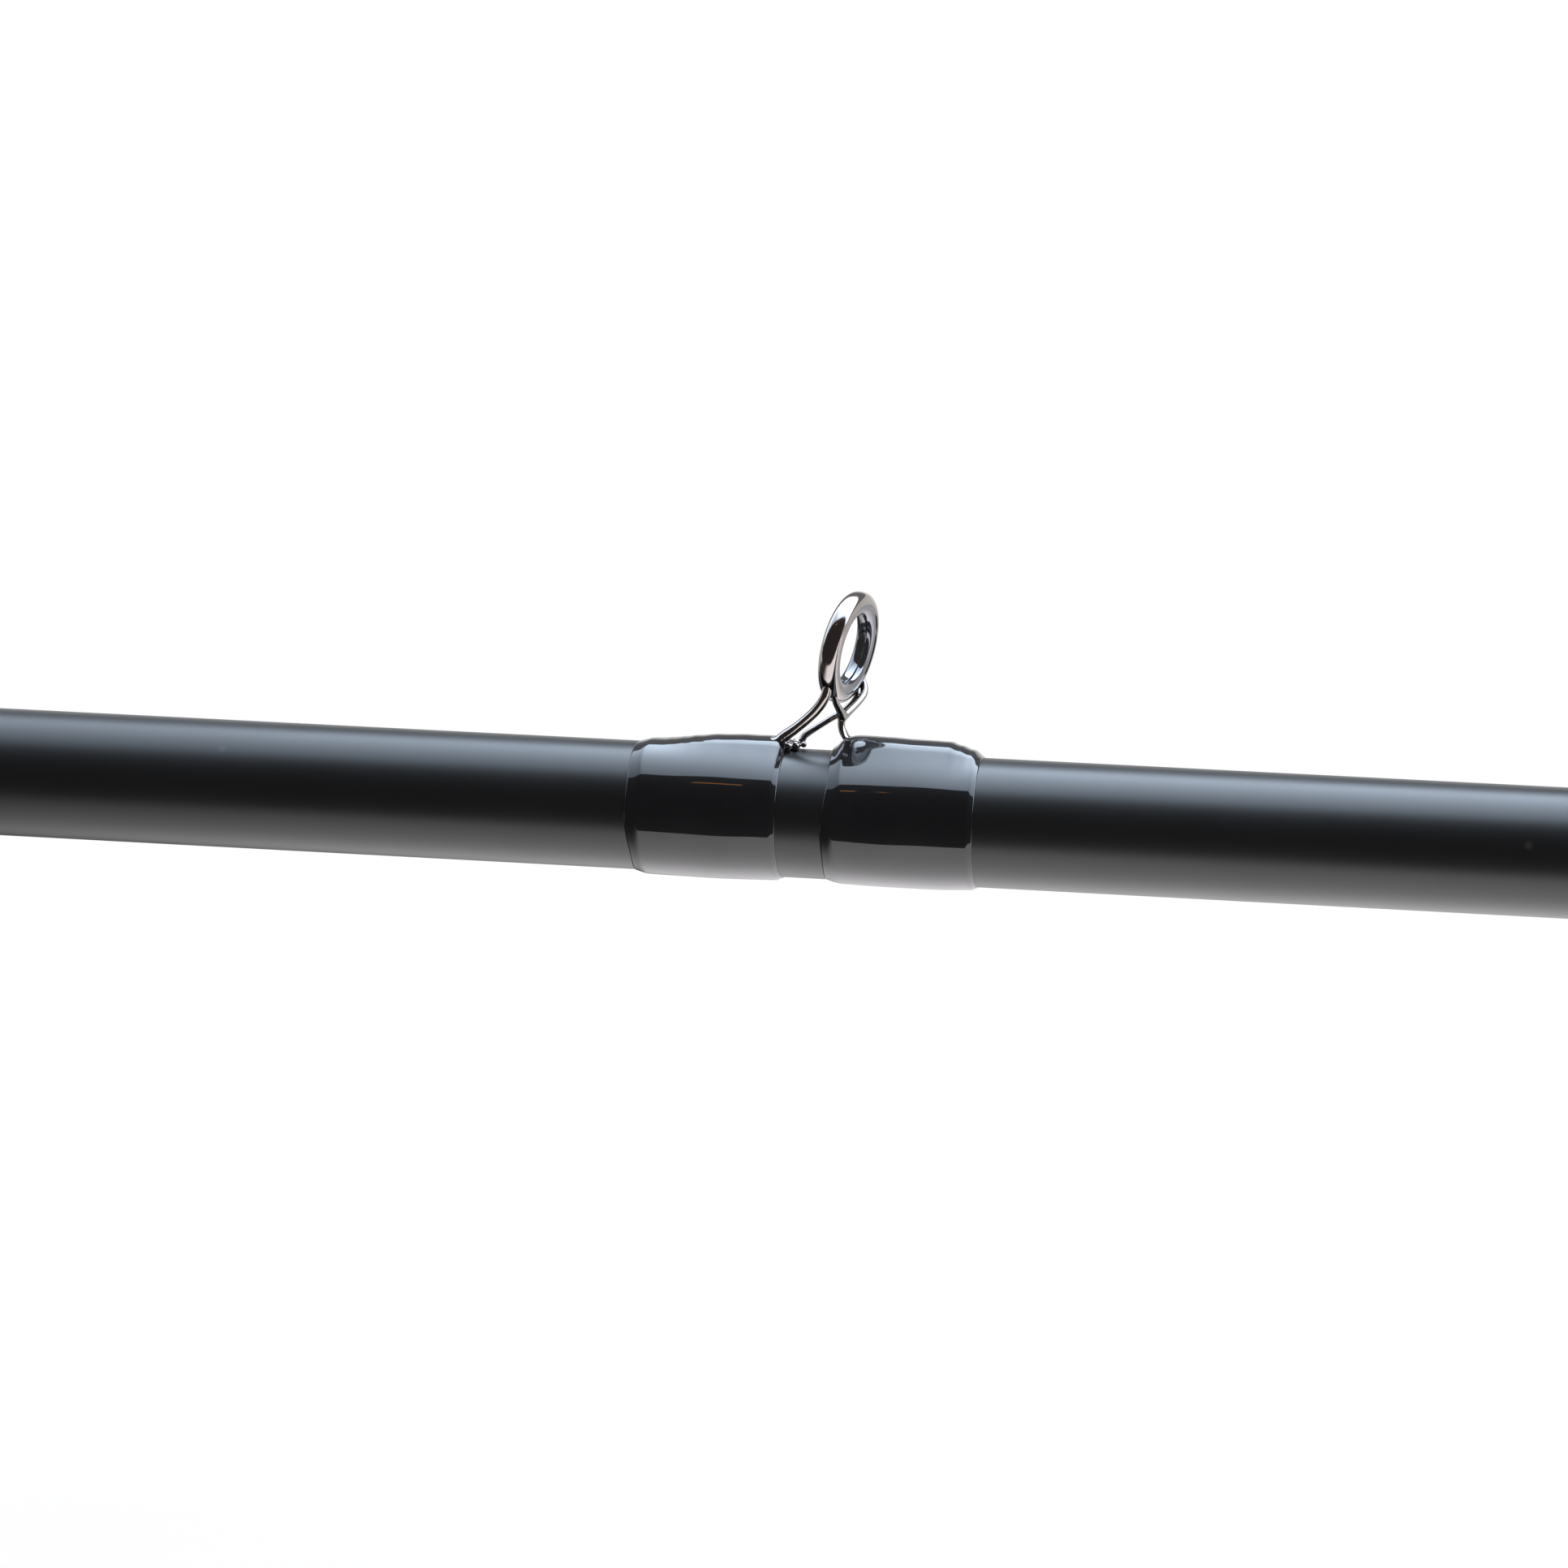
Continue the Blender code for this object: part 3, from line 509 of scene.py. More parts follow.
def new_object(name, mesh):
    made = bpy.data.objects.new(name, mesh)
    bpy.context.scene.collection.objects.link(made)
    return made


def from_rings(name, rings):
    """A closed mesh from loops of points; each loop and the list of loops close on themselves."""
    count, sides = len(rings), len(rings[0])
    points = [point for ring in rings for point in ring]
    faces = []
    for row in range(count):
        low, high = row * sides, (row + 1) % count * sides
        for column in range(sides):
            after = (column + 1) % sides
            faces.append((low + column, low + after, high + after, high + column))
    mesh = bpy.data.meshes.new(name)
    mesh.from_pydata(points, [], faces)
    return tidy_mesh(mesh)


def tidy_mesh(mesh):
    """Merges doubles, drops what they flatten and turns every face outwards."""
    work = bmesh.new()
    work.from_mesh(mesh)
    bmesh.ops.remove_doubles(work, verts=work.verts, dist=1e-7)
    bmesh.ops.dissolve_degenerate(work, edges=work.edges, dist=1e-7)
    bmesh.ops.recalc_face_normals(work, faces=work.faces)
    work.to_mesh(mesh)
    work.free()
    return mesh


def lathed(name, outline, sides=96, basis=None):
    """A turned mesh about X. outline is a closed list of (x, radius); basis places it."""
    rings = []
    for step in range(sides):
        turn = math.tau * step / sides
        ring = [Vector((x, -radius * math.sin(turn), radius * math.cos(turn))) for x, radius in outline]
        rings.append([basis @ point for point in ring] if basis else ring)
    return from_rings(name, rings)


def rounded(outline, radius, steps=4):
    """A closed outline with each convex or concave corner rounded off."""
    made = []
    count = len(outline)
    for index, corner in enumerate(outline):
        here = Vector(corner)
        before, after = Vector(outline[index - 1]), Vector(outline[(index + 1) % count])
        reach = min(radius, (before - here).length * 0.45, (after - here).length * 0.45)
        if reach < 1e-6 or here.y <= 0:
            made.append(tuple(here))
            continue
        start = here + (before - here).normalized() * reach
        end = here + (after - here).normalized() * reach
        for step in range(steps + 1):
            t = step / steps
            made.append(tuple(start * (1 - t) ** 2 + here * 2 * t * (1 - t) + end * t ** 2))
    return made


def smooth_path(points, steps):
    """A Catmull-Rom path through (place, across size, up size) points."""
    rows = [(Vector(place), wide, tall) for place, wide, tall in points]
    rows = [rows[0], *rows, rows[-1]]
    made = []
    for index in range(1, len(rows) - 2):
        span = rows[index - 1:index + 3]
        for step in range(steps):
            t = step / steps
            weights = (
                (-t + 2 * t ** 2 - t ** 3) / 2, (2 - 5 * t ** 2 + 3 * t ** 3) / 2,
                (t + 4 * t ** 2 - 3 * t ** 3) / 2, (-t ** 2 + t ** 3) / 2)
            place = sum((weight * row[0] for weight, row in zip(weights, span)), Vector())
            wide = sum(weight * row[1] for weight, row in zip(weights, span))
            tall = sum(weight * row[2] for weight, row in zip(weights, span))
            made.append((place, wide, tall))
    made.append(rows[-2])
    return made


def sweep(work, points, steps=8, sides=16):
    """Adds a bar to a bmesh along (place, half width, half height) points, with rounded ends."""
    path = smooth_path(points, steps)
    first = (path[1][0] - path[0][0]).normalized()
    last = (path[-1][0] - path[-2][0]).normalized()
    caps = ((0.0, 1.0), (0.5, 0.87), (0.85, 0.53))
    start, wide, tall = path[0]
    end, wide_end, tall_end = path[-1]
    rows = [(start - first * min(wide, tall) * out, wide * size, tall * size) for out, size in caps[:0:-1]]
    rows += path
    rows += [(end + last * min(wide_end, tall_end) * out, wide_end * size, tall_end * size)
             for out, size in caps[1:]]
    side = Vector((0, 1, 0))
    loops = []
    for index, (place, half_width, half_height) in enumerate(rows):
        before = rows[max(index - 1, 0)][0]
        after = rows[min(index + 1, len(rows) - 1)][0]
        ahead = (after - before).normalized()
        across = (side - ahead * side.dot(ahead)).normalized()
        up = ahead.cross(across)
        loop = []
        for step in range(sides):
            turn = math.tau * step / sides
            loop.append(work.verts.new(
                place + across * half_width * math.cos(turn) + up * half_height * math.sin(turn)))
        loops.append(loop)
        side = across
    for low, high in zip(loops, loops[1:]):
        for step in range(sides):
            after = (step + 1) % sides
            work.faces.new((low[step], low[after], high[after], high[step]))
    work.faces.new(loops[0])
    work.faces.new(loops[-1])


def ball(work, place, radius, stretch=(1, 1, 1)):
    """Adds a blob of weld to a bmesh."""
    shape = Matrix.Translation(place) @ Matrix.Diagonal((*stretch, 1))
    bmesh.ops.create_icosphere(work, subdivisions=3, radius=radius, matrix=shape)


def fused(name, work, voxel):
    """Turns overlapping bars into one skin with small fillets where they meet."""
    mesh = bpy.data.meshes.new(name)
    bmesh.ops.recalc_face_normals(work, faces=work.faces)
    work.to_mesh(mesh)
    work.free()
    rough = new_object(name + "_rough", mesh)
    skin = rough.modifiers.new("skin", "REMESH")
    skin.mode = "VOXEL"
    skin.voxel_size = voxel
    soften = rough.modifiers.new("soften", "SMOOTH")
    soften.factor = 0.5
    soften.iterations = 5
    made = evaluated_mesh(rough)
    bpy.data.objects.remove(rough, do_unlink=True)
    return made


def evaluated_mesh(obj):
    """A plain copy of what an object's modifiers make."""
    bpy.context.view_layer.update()
    graph = bpy.context.evaluated_depsgraph_get()
    return bpy.data.meshes.new_from_object(obj.evaluated_get(graph))


def joined(name, meshes):
    """One mesh from several."""
    work = bmesh.new()
    for mesh in meshes:
        work.from_mesh(mesh)
        bpy.data.meshes.remove(mesh)
    made = bpy.data.meshes.new(name)
    work.to_mesh(made)
    work.free()
    return made


def boolean(mesh, others, operation):
    """Joins or cuts a mesh with others, which are used up."""
    base = new_object("boolean_base", mesh)
    helpers = []
    for other in others:
        helper = new_object("boolean_helper", other)
        step = base.modifiers.new(operation.lower(), "BOOLEAN")
        step.operation = operation
        step.solver = "EXACT"
        step.object = helper
        helpers.append(helper)
    made = evaluated_mesh(base)
    for obj in (base, *helpers):
        bpy.data.objects.remove(obj, do_unlink=True)
    return made


def bevelled(mesh, width):
    """A mesh with its edges rounded off."""
    base = new_object("bevel_base", mesh)
    step = base.modifiers.new("edges", "BEVEL")
    step.width = width
    step.segments = 3
    step.limit_method = "ANGLE"
    step.angle_limit = math.radians(40)
    made = evaluated_mesh(base)
    bpy.data.objects.remove(base, do_unlink=True)
    return made


def box_mesh(low, high):
    """A plain block between two corners."""
    work = bmesh.new()
    low, high = Vector(low), Vector(high)
    place = Matrix.Translation((low + high) / 2) @ Matrix.Diagonal((*(high - low), 1))
    bmesh.ops.create_cube(work, size=1.0, matrix=place)
    mesh = bpy.data.meshes.new("box")
    work.to_mesh(mesh)
    work.free()
    return mesh


def add_piece(name, mesh, finish_name, nodes, sharp=40):
    """Shows a mesh in place of CAD nodes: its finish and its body."""
    mesh.shade_smooth()
    mesh.set_sharp_from_angle(angle=math.radians(sharp))
    mesh.materials.clear()
    mesh.materials.append(finish(finish_name))
    made = new_object(name, mesh)
    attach(made, BODIES[nodes[0]])
    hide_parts(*nodes)
    return made


def middle_of(node):
    """The middle of a CAD node's box."""
    low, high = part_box(node)
    return (low + high) / 2


# Geometry Nodes


class NodeTree:
    """A Geometry Nodes tree with named inputs, for what repeats."""

    def __init__(self, name, inputs):
        self.tree = bpy.data.node_groups.new(name, "GeometryNodeTree")
        self.names = {}
        face = self.tree.interface
        face.new_socket("Geometry", in_out="OUTPUT", socket_type="NodeSocketGeometry")
        for label, (kind, default) in inputs.items():
            socket = face.new_socket(label, in_out="INPUT", socket_type=kind)
            if default is not None:
                socket.default_value = default
            self.names[label] = socket.identifier
        self.start = self.tree.nodes.new("NodeGroupInput")
        self.end = self.tree.nodes.new("NodeGroupOutput")

    def value(self, label):
        return self.start.outputs[label]

    def node(self, kind, setup=None, inputs=None):
        made = self.tree.nodes.new(kind)
        for key, value in (setup or {}).items():
            setattr(made, key, value)
        for key, value in (inputs or {}).items():
            if isinstance(value, bpy.types.NodeSocket):
                self.tree.links.new(value, made.inputs[key])
            else:
                made.inputs[key].default_value = value
        return made

    def calc(self, operation, *values):
        return self.node("ShaderNodeMath", {"operation": operation}, dict(enumerate(values))).outputs[0]

    def close(self, geometry, material):
        """Ends the tree in Realize Instances and Set Material."""
        real = self.node("GeometryNodeRealizeInstances", None, {"Geometry": geometry})
        painted = self.node("GeometryNodeSetMaterial", None, {
            "Geometry": real.outputs[0], "Material": material})
        self.tree.links.new(painted.outputs[0], self.end.inputs[0])

    def build(self, values):
        """The mesh that the tree makes with these input values."""
        seed = new_object(self.tree.name, bpy.data.meshes.new(self.tree.name))
        step = seed.modifiers.new("nodes", "NODES")
        step.node_group = self.tree
        for label, value in values.items():
            step[self.names[label]] = value
        made = evaluated_mesh(seed)
        seed.modifiers.remove(step)
        bpy.data.objects.remove(seed, do_unlink=True)
        return made


def thread_tree(material):
    """A screw thread: one triangular ridge that winds along X."""
    tree = NodeTree("barrel_thread", {
        "Radius": ("NodeSocketFloat", 0.011), "Pitch": ("NodeSocketFloat", 0.002),
        "Turns": ("NodeSocketFloat", 10.0), "Ridge": ("NodeSocketFloat", 0.0004),
    })
    winding = tree.node("GeometryNodeCurveSpiral", None, {
        "Resolution": 48, "Rotations": tree.value("Turns"), "Start Radius": tree.value("Radius"),
        "End Radius": tree.value("Radius"),
        "Height": tree.calc("MULTIPLY", tree.value("Pitch"), tree.value("Turns")), "Reverse": False})
    section = tree.node("GeometryNodeCurvePrimitiveCircle", None, {
        "Resolution": 6, "Radius": tree.value("Ridge")})
    ridge = tree.node("GeometryNodeCurveToMesh", None, {
        "Curve": winding.outputs[0], "Profile Curve": section.outputs[0], "Fill Caps": True})
    laid = tree.node("GeometryNodeTransform", None, {
        "Geometry": ridge.outputs[0], "Rotation": (0.0, math.pi / 2, 0.0)})
    tree.close(laid.outputs[0], material)
    return tree


def ribs_tree(material):
    """Straight ribs set evenly round X, such as a nut's knurl."""
    tree = NodeTree("nut_ribs", {
        "Radius": ("NodeSocketFloat", 0.014), "Count": ("NodeSocketInt", 36),
        "Length": ("NodeSocketFloat", 0.01), "Width": ("NodeSocketFloat", 0.0008),
    })
    circle = tree.node("GeometryNodeMeshCircle", {"fill_type": "NONE"}, {
        "Vertices": tree.value("Count"), "Radius": tree.value("Radius")})
    rib = tree.node("GeometryNodeMeshCylinder", {"fill_type": "NGON"}, {
        "Vertices": 8, "Radius": tree.value("Width"), "Depth": tree.value("Length")})
    spots = tree.node("GeometryNodeInstanceOnPoints", None, {
        "Points": circle.outputs[0], "Instance": rib.outputs[0]})
    laid = tree.node("GeometryNodeTransform", None, {
        "Geometry": spots.outputs[0], "Rotation": (0.0, math.pi / 2, 0.0)})
    tree.close(laid.outputs[0], material)
    return tree


# Blank


class ROD_OT_blanks(bpy.types.Operator):
    """Build the two smooth tapered blank sections"""

    bl_idname = "rod.blanks"
    bl_label = "Blank sections"

    def execute(self, context):
        for node in ("butt_blank", "tip_blank"):
            low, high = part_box(node)
            spans = 40
            places = [low.x + (high.x - low.x) * step / spans for step in range(spans + 1)]
            outline = [(x, blank_radius(x)) for x in places]
            outline += [(x, blank_radius(x) - BLANK_WALL) for x in (high.x, low.x)]
            add_piece(node + "_satin", lathed(node, outline, 128), "satin_carbon", [node])
        low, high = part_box("ferrule_spigot")
        inner = blank_radius(low.x) - 1.0 * MM
        outer = blank_radius(high.x) - 1.1 * MM
        outline = rounded([(low.x, 0), (low.x, inner), (high.x, outer), (high.x, 0)], 0.6 * MM)
        add_piece("ferrule_spigot_satin", lathed("ferrule_spigot", outline, 64), "satin_carbon",
                  ["ferrule_spigot"])
        return {"FINISHED"}


# Thread wraps


class Foot:
    """What a wrap binds down: half width, and tops over the blank along X."""

    def __init__(self, half_width, tops):
        self.half_width = half_width
        self.tops = tops

    def top(self, x):
        points = self.tops
        if x <= points[0][0]:
            return points[0][1]
        for (x_low, low), (x_high, high) in zip(points, points[1:]):
            if x <= x_high:
                t = (x - x_low) / (x_high - x_low)
                t = t * t * (3 - 2 * t)
                return low + (high - low) * t
        return points[-1][1]


def tented(radius, half_width, top, turn):
    """Radius at a turn from the top of thread pulled tight over a blank and a foot's two corners."""
    turn = abs(turn)
    corner = math.atan2(half_width, top)
    reach = math.hypot(half_width, top)
    if reach <= radius:
        return radius
    touch = corner + math.acos(radius / reach)
    if turn >= touch:
        return radius
    if turn <= corner:
        return top / math.cos(turn)
    return radius / math.cos(touch - turn)


def wrap_mesh(name, start, end, foot=None, sides=112, spans=34, seed=0.0):
    """A wrap's closed skin: epoxy with rounded shoulders, a tent over the foot and slight waviness."""
    wraps = settings("rod_wraps")
    length = end - start
    rings = []
    for step in range(sides):
        turn = math.tau * step / sides - math.pi
        ends = (0.10 * math.sin(turn * 2 + seed) + 0.06 * math.sin(turn * 5 + seed * 2.3)) * MM
        ring = []
        for index in range(spans + 1):
            share = index / spans
            eased = 0.5 - 0.5 * math.cos(math.pi * share)
            share = share * 0.45 + eased * 0.55
            x = start + ends * (1 - share) + length * share
            edge = min(share * length / wraps.butt_shoulder, (1 - share) * length / wraps.tip_shoulder, 1.0)
            rise = edge * edge * (3 - 2 * edge) * 0.6 + math.sqrt(1 - (1 - edge) ** 2) * 0.4
            wall = wraps.end_wall + (wraps.wall - wraps.end_wall) * rise
            wall += wraps.crown * (1 - (2 * share - 1) ** 2)
            wave = math.sin(turn * 3 + x * 900 + seed) + math.sin(turn * 2 - x * 1400 + seed * 3)
            wall += wraps.waviness * wave * 0.5 * rise
            radius = blank_radius(x)
            if foot:
                top = radius + foot.top(x)
                radius = sum(0.2 * tented(radius, foot.half_width, top, turn + offset)
                             for offset in (-0.16, -0.08, 0, 0.08, 0.16))
            radius += wall
            ring.append(Vector((x, radius * math.sin(turn), radius * math.cos(turn))))
        for x in (end, start + ends):
            inner = blank_radius(x) - 0.05 * MM
            ring.append(Vector((x, inner * math.sin(turn), inner * math.cos(turn))))
        rings.append(ring)
    return from_rings(name, rings)


# Tops of the foot ridge over the blank, each with its X from the ring, in millimetres
BENT_BUTT_TOPS = ((-11.6, 0.0), (-11.0, 0.05), (-10.2, 0.14), (-9.5, 0.23), (-8.0, 0.36), (-6.05, 0.46),
                  (-4.5, 0.50), (-3.6, 0.46))
BENT_TIP_TOPS = ((-0.6, 0.20), (0.2, 0.66), (0.9, 0.75), (3.0, 0.69), (4.6, 0.64), (6.8, 0.62), (7.5, 0.44),
                 (8.2, 0.24), (8.9, 0.0))


class ROD_OT_wraps(bpy.types.Operator):
    """Build the glossy thread wraps on the ferrule, handle, keeper, guides and tip-top"""

    bl_idname = "rod.wraps"
    bl_label = "Thread wraps"

    def execute(self, context):
        plain = ("butt_ferrule_wrap", "tip_ferrule_wrap", "handle_wrap", "tip_top_wrap")
        for seed, node in enumerate(plain):
            low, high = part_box(node)
            mesh = wrap_mesh(node, low.x, high.x, seed=seed * 1.7)
            add_piece(node + "_epoxy", mesh, "epoxy_thread", [node], 70)
        for seed, node in enumerate(("keeper_rear_wrap", "keeper_front_wrap")):
            low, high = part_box(node)
            tall = 0.5 * MM
            tops = [(low.x + 1.0 * MM, tall), (high.x, tall)]
            if node == "keeper_front_wrap":
                tops = [(low.x, tall), (high.x - 1.0 * MM, tall)]
            mesh = wrap_mesh(node, low.x, high.x, Foot(1.2 * MM, tops), seed=seed + 5.0)
            add_piece(node + "_epoxy", mesh, "epoxy_thread", [node], 70)
        for guide in range(1, 8):
            ring_x = middle_of(f"guide_{guide}_ring").x
            for side in ("butt", "tip"):
                node = f"guide_{guide}_{side}_wrap"
                low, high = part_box(node)
                start, end = low.x, high.x
                foot = guide_foot(guide, side, start, end)
                if guide == BENT_GUIDE:
                    tops = BENT_BUTT_TOPS if side == "butt" else BENT_TIP_TOPS
                    foot = Foot(0.95 * MM, [(ring_x + x * MM, top * MM) for x, top in tops])
                    start = start if side == "butt" else ring_x - 0.62 * MM
                    mesh = wrap_mesh(node, start, end, foot, 256, 96, 0.4 if side == "butt" else 2.9)
                else:
                    mesh = wrap_mesh(node, start, end, foot, seed=guide * 1.3 + (side == "tip"))
                add_piece(node + "_epoxy", mesh, "epoxy_thread", [node], 70)
        return {"FINISHED"}


def guide_foot(guide, side, start, end):
    """The ridge over a guide's foot, which thins towards its far end."""
    wire = GUIDE_SIZES[guide]["wire"]
    half = GUIDE_SIZES[guide]["foot_width"] / 2
    length = end - start
    if side == "butt":
        tops = [(start + 0.04 * length, 0.0), (start + 0.35 * length, 1.2 * wire), (end, 2.2 * wire)]
    else:
        tops = [(start, 2.2 * wire), (start + 0.65 * length, 1.2 * wire), (end - 0.04 * length, 0.0)]
    return Foot(half, tops)


# Guides

# Each size's half width of the band, ring radii, height over the blank, wire and feet
SMALL = {"band": 3.63 * MM, "insert": 2.95 * MM, "bore": 2.2 * MM, "height": 6.45 * MM, "half": 0.66 * MM,
         "wire": 0.30 * MM, "foot_width": 1.7 * MM, "butt": -3.2 * MM, "tip": 0.3 * MM,
         "butt_foot": 9.6 * MM, "tip_foot": 8.2 * MM}
MIDDLE = {"band": 5.8 * MM, "insert": 4.8 * MM, "bore": 3.7 * MM, "height": 12.5 * MM, "half": 1.0 * MM,
          "wire": 0.5 * MM, "foot_width": 2.2 * MM, "butt": -5.6 * MM, "tip": 0.6 * MM,
          "butt_foot": 12.5 * MM, "tip_foot": 11.5 * MM}
LARGE = {"band": 11.1 * MM, "insert": 9.7 * MM, "bore": 8.0 * MM, "height": 23.0 * MM, "half": 1.9 * MM,
         "wire": 0.75 * MM, "foot_width": 3.0 * MM, "butt": -11.0 * MM, "tip": 1.2 * MM,
         "butt_foot": 17.5 * MM, "tip_foot": 16.5 * MM}
GUIDE_SIZES = {1: LARGE, 2: MIDDLE, 3: SMALL, 4: SMALL, 5: SMALL, 6: SMALL, 7: SMALL}


def ring_basis(centre, twist=0.0):
    """Places a ring: X along its axis, Z towards its top."""
    lean = settings("rod_guides").lean
    return Matrix.Translation(centre) @ Matrix.Rotation(twist, 4, "Z") @ Matrix.Rotation(lean, 4, "Y")


def round_section(half, base, reach, fullness):
    """Half of a rounded section that stands reach out of base; fullness 2 is an ellipse."""
    steps = 20
    outline = []
    for step in range(steps + 1):
        turn = math.pi * step / steps
        across, out = math.cos(turn), math.sin(turn)
        outline.append((half * math.copysign(abs(across) ** (2 / fullness), across),
                        base + reach * out ** (2 / fullness)))
    return outline


def band_outline(size):
    """The frame's band: the outer half of the ring's rounded section, with a lip round the insert."""
    insert, half = size["insert"], size["half"]
    outline = round_section(half, insert, size["band"] - insert, 2.3)
    return outline + [(-half * 0.93, insert), (-half * 0.9, insert + 0.02 * size["band"]),
                      (half * 0.9, insert + 0.02 * size["band"]), (half * 0.93, insert)]


def insert_outline(size):
    """The insert: the inner half of the section, polished, with a flatter bore."""
    insert = size["insert"]
    outline = round_section(size["half"] * 0.93, insert, size["bore"] - insert, 3.0)
    return outline + [(-size["half"] * 0.88, insert + 0.015 * size["band"]),
                      (size["half"] * 0.88, insert + 0.015 * size["band"])]


def frame_wires(work, size, centre, base):
    """The legs, stem and feet of an ordinary guide."""
    basis = ring_basis(centre)
    wire, band = size["wire"], (size["band"] + size["insert"]) / 2
    lift = base + wire

    def ring_place(degrees, ahead=0.0):
        turn = math.radians(degrees)
        return basis @ Vector((ahead, -band * math.sin(turn), band * math.cos(turn)))

    butt = centre.x + size["butt"]
    tip = centre.x + size["tip"]
    foot_half = size["foot_width"] / 2
    apex = Vector((centre.x, 0, (basis @ Vector((0, 0, -band))).z - 0.29 * size["band"]))
    for side in (-1, 1):
        top = ring_place(side * 118)
        low = ring_place(side * 135, -0.35 * size["half"])
        knee = Vector((centre.x + 0.37 * size["butt"], -side * 0.5 * abs(low.y), (low.z * 0.5 + lift * 0.5)))
        land = Vector((butt + wire, -side * 1.2 * wire, lift + 0.3 * wire))
        sweep(work, [(top, wire * 0.6, wire * 0.6), (low, wire, wire), (knee, wire, wire * 0.85),
                     (land, wire, wire * 0.8), (land - Vector((4 * wire, 0, 0.3 * wire)), wire, wire * 0.6)])
        start = ring_place(side * 128, 0.5 * size["half"])
        near = ring_place(side * 150, 0.5 * size["half"])
        near.z -= 0.2 * wire
        sweep(work, [(start, wire * 0.5, wire * 0.5), (near, wire * 0.85, wire * 0.85),
                     (apex, wire * 0.9, wire * 0.9)])
    sweep(work, [
        (apex + Vector((0, 0, wire * 0.4)), wire, wire),
        (Vector((centre.x + 0.1 * size["tip"], 0, (apex.z + lift) / 2)), wire * 0.9, wire * 0.8),
        (Vector((tip - 0.2 * wire, 0, lift + wire)), wire * 1.2, wire * 0.9),
        (Vector((tip + 3 * wire, 0, lift)), foot_half, wire * 0.9)])
    low_x, high_x = centre.x + size["butt"], centre.x + size["tip"]
    for start, away, length in ((low_x, -1, size["butt_foot"]), (high_x, 1, size["tip_foot"])):
        sweep(work, [
            (Vector((start - away * 0.6 * wire, 0, lift)), foot_half * 0.9, wire * 0.8),
            (Vector((start + away * 0.5 * length, 0, lift - 0.2 * wire)), foot_half, wire * 0.6),
            (Vector((start + away * (length - wire), 0, blank_radius(start + away * length) + 0.35 * wire)),
             foot_half * 0.6, wire * 0.3)], 6)
    ball(work, apex, wire * 1.3)


# The bent guide's wires, in millimetres from its ring's middle along X, from the rod's middle plane
# and over the rod's axis, each with its half width and half height
NEAR_LEG = (
    ((-0.86, -2.60, 9.10), 0.24, 0.24), ((-0.86, -2.20, 8.35), 0.33, 0.30),
    ((-1.08, -2.00, 7.50), 0.35, 0.33), ((-1.60, -1.70, 6.74), 0.37, 0.34),
    ((-2.25, -1.40, 6.10), 0.37, 0.34), ((-3.00, -1.10, 5.47), 0.37, 0.34),
    ((-3.76, -0.90, 4.91), 0.40, 0.37), ((-4.20, -0.80, 4.60), 0.44, 0.34),
    ((-5.20, -0.70, 4.35), 0.44, 0.27))
FAR_LEG = (
    ((0.26, 2.75, 8.60), 0.27, 0.24), ((0.30, 2.10, 7.42), 0.27, 0.23), ((-0.45, 1.70, 6.52), 0.27, 0.22),
    ((-1.09, 1.50, 6.10), 0.27, 0.20), ((-1.90, 1.20, 5.55), 0.27, 0.20), ((-2.71, 0.90, 4.97), 0.30, 0.23),
    ((-2.95, 0.80, 4.60), 0.32, 0.22), ((-3.60, 0.70, 4.40), 0.35, 0.22))
NEAR_BRACE = (
    ((-0.80, -2.25, 8.70), 0.18, 0.18), ((-0.67, -1.80, 8.14), 0.22, 0.20),
    ((-0.54, -1.00, 7.25), 0.23, 0.21), ((-0.31, -0.30, 6.60), 0.29, 0.26),
    ((-0.24, 0.00, 6.20), 0.31, 0.29))
FAR_BRACE = (
    ((0.42, 2.55, 8.85), 0.18, 0.18), ((0.72, 2.38, 8.20), 0.24, 0.22), ((0.78, 2.05, 7.70), 0.25, 0.22),
    ((0.50, 1.40, 7.13), 0.24, 0.21), ((0.09, 0.60, 6.58), 0.26, 0.23), ((-0.18, 0.00, 6.20), 0.28, 0.26))
STEM = (
    ((-0.22, 0.00, 6.40), 0.28, 0.28), ((-0.27, 0.00, 6.00), 0.26, 0.25), ((-0.26, 0.00, 5.65), 0.28, 0.24),
    ((-0.12, 0.00, 5.28), 0.38, 0.26), ((0.25, 0.00, 4.86), 0.62, 0.24), ((1.20, 0.00, 4.72), 0.85, 0.26),
    ((3.20, 0.00, 4.55), 0.85, 0.24), ((6.20, 0.00, 4.35), 0.80, 0.20), ((7.80, 0.00, 4.20), 0.50, 0.10))
BUTT_FOOT = (
    ((-3.10, 0.00, 4.42), 0.62, 0.20), ((-3.80, 0.00, 4.48), 0.85, 0.26), ((-6.00, 0.00, 4.52), 0.88, 0.30),
    ((-9.50, 0.00, 4.42), 0.80, 0.22), ((-12.0, 0.00, 4.30), 0.50, 0.10))
BENT_WELDS = (
    ((-0.24, 0.00, 6.22), 0.32), ((-3.60, -0.85, 4.28), 0.40), ((-3.05, -0.70, 4.30), 0.30),
    ((-2.55, -0.55, 4.42), 0.20))


def bent_wires(work, ring_x):
    """The legs, stem and feet of the guide that was knocked out of square."""
    for wires in (NEAR_LEG, FAR_LEG, NEAR_BRACE, FAR_BRACE, STEM, BUTT_FOOT):
        sweep(work, [(Vector((ring_x + x * MM, y * MM, z * MM)), wide * MM, tall * MM)
                     for (x, y, z), wide, tall in wires])
    for (x, y, z), radius in BENT_WELDS:
        ball(work, Vector((ring_x + x * MM, y * MM, z * MM)), radius * MM)


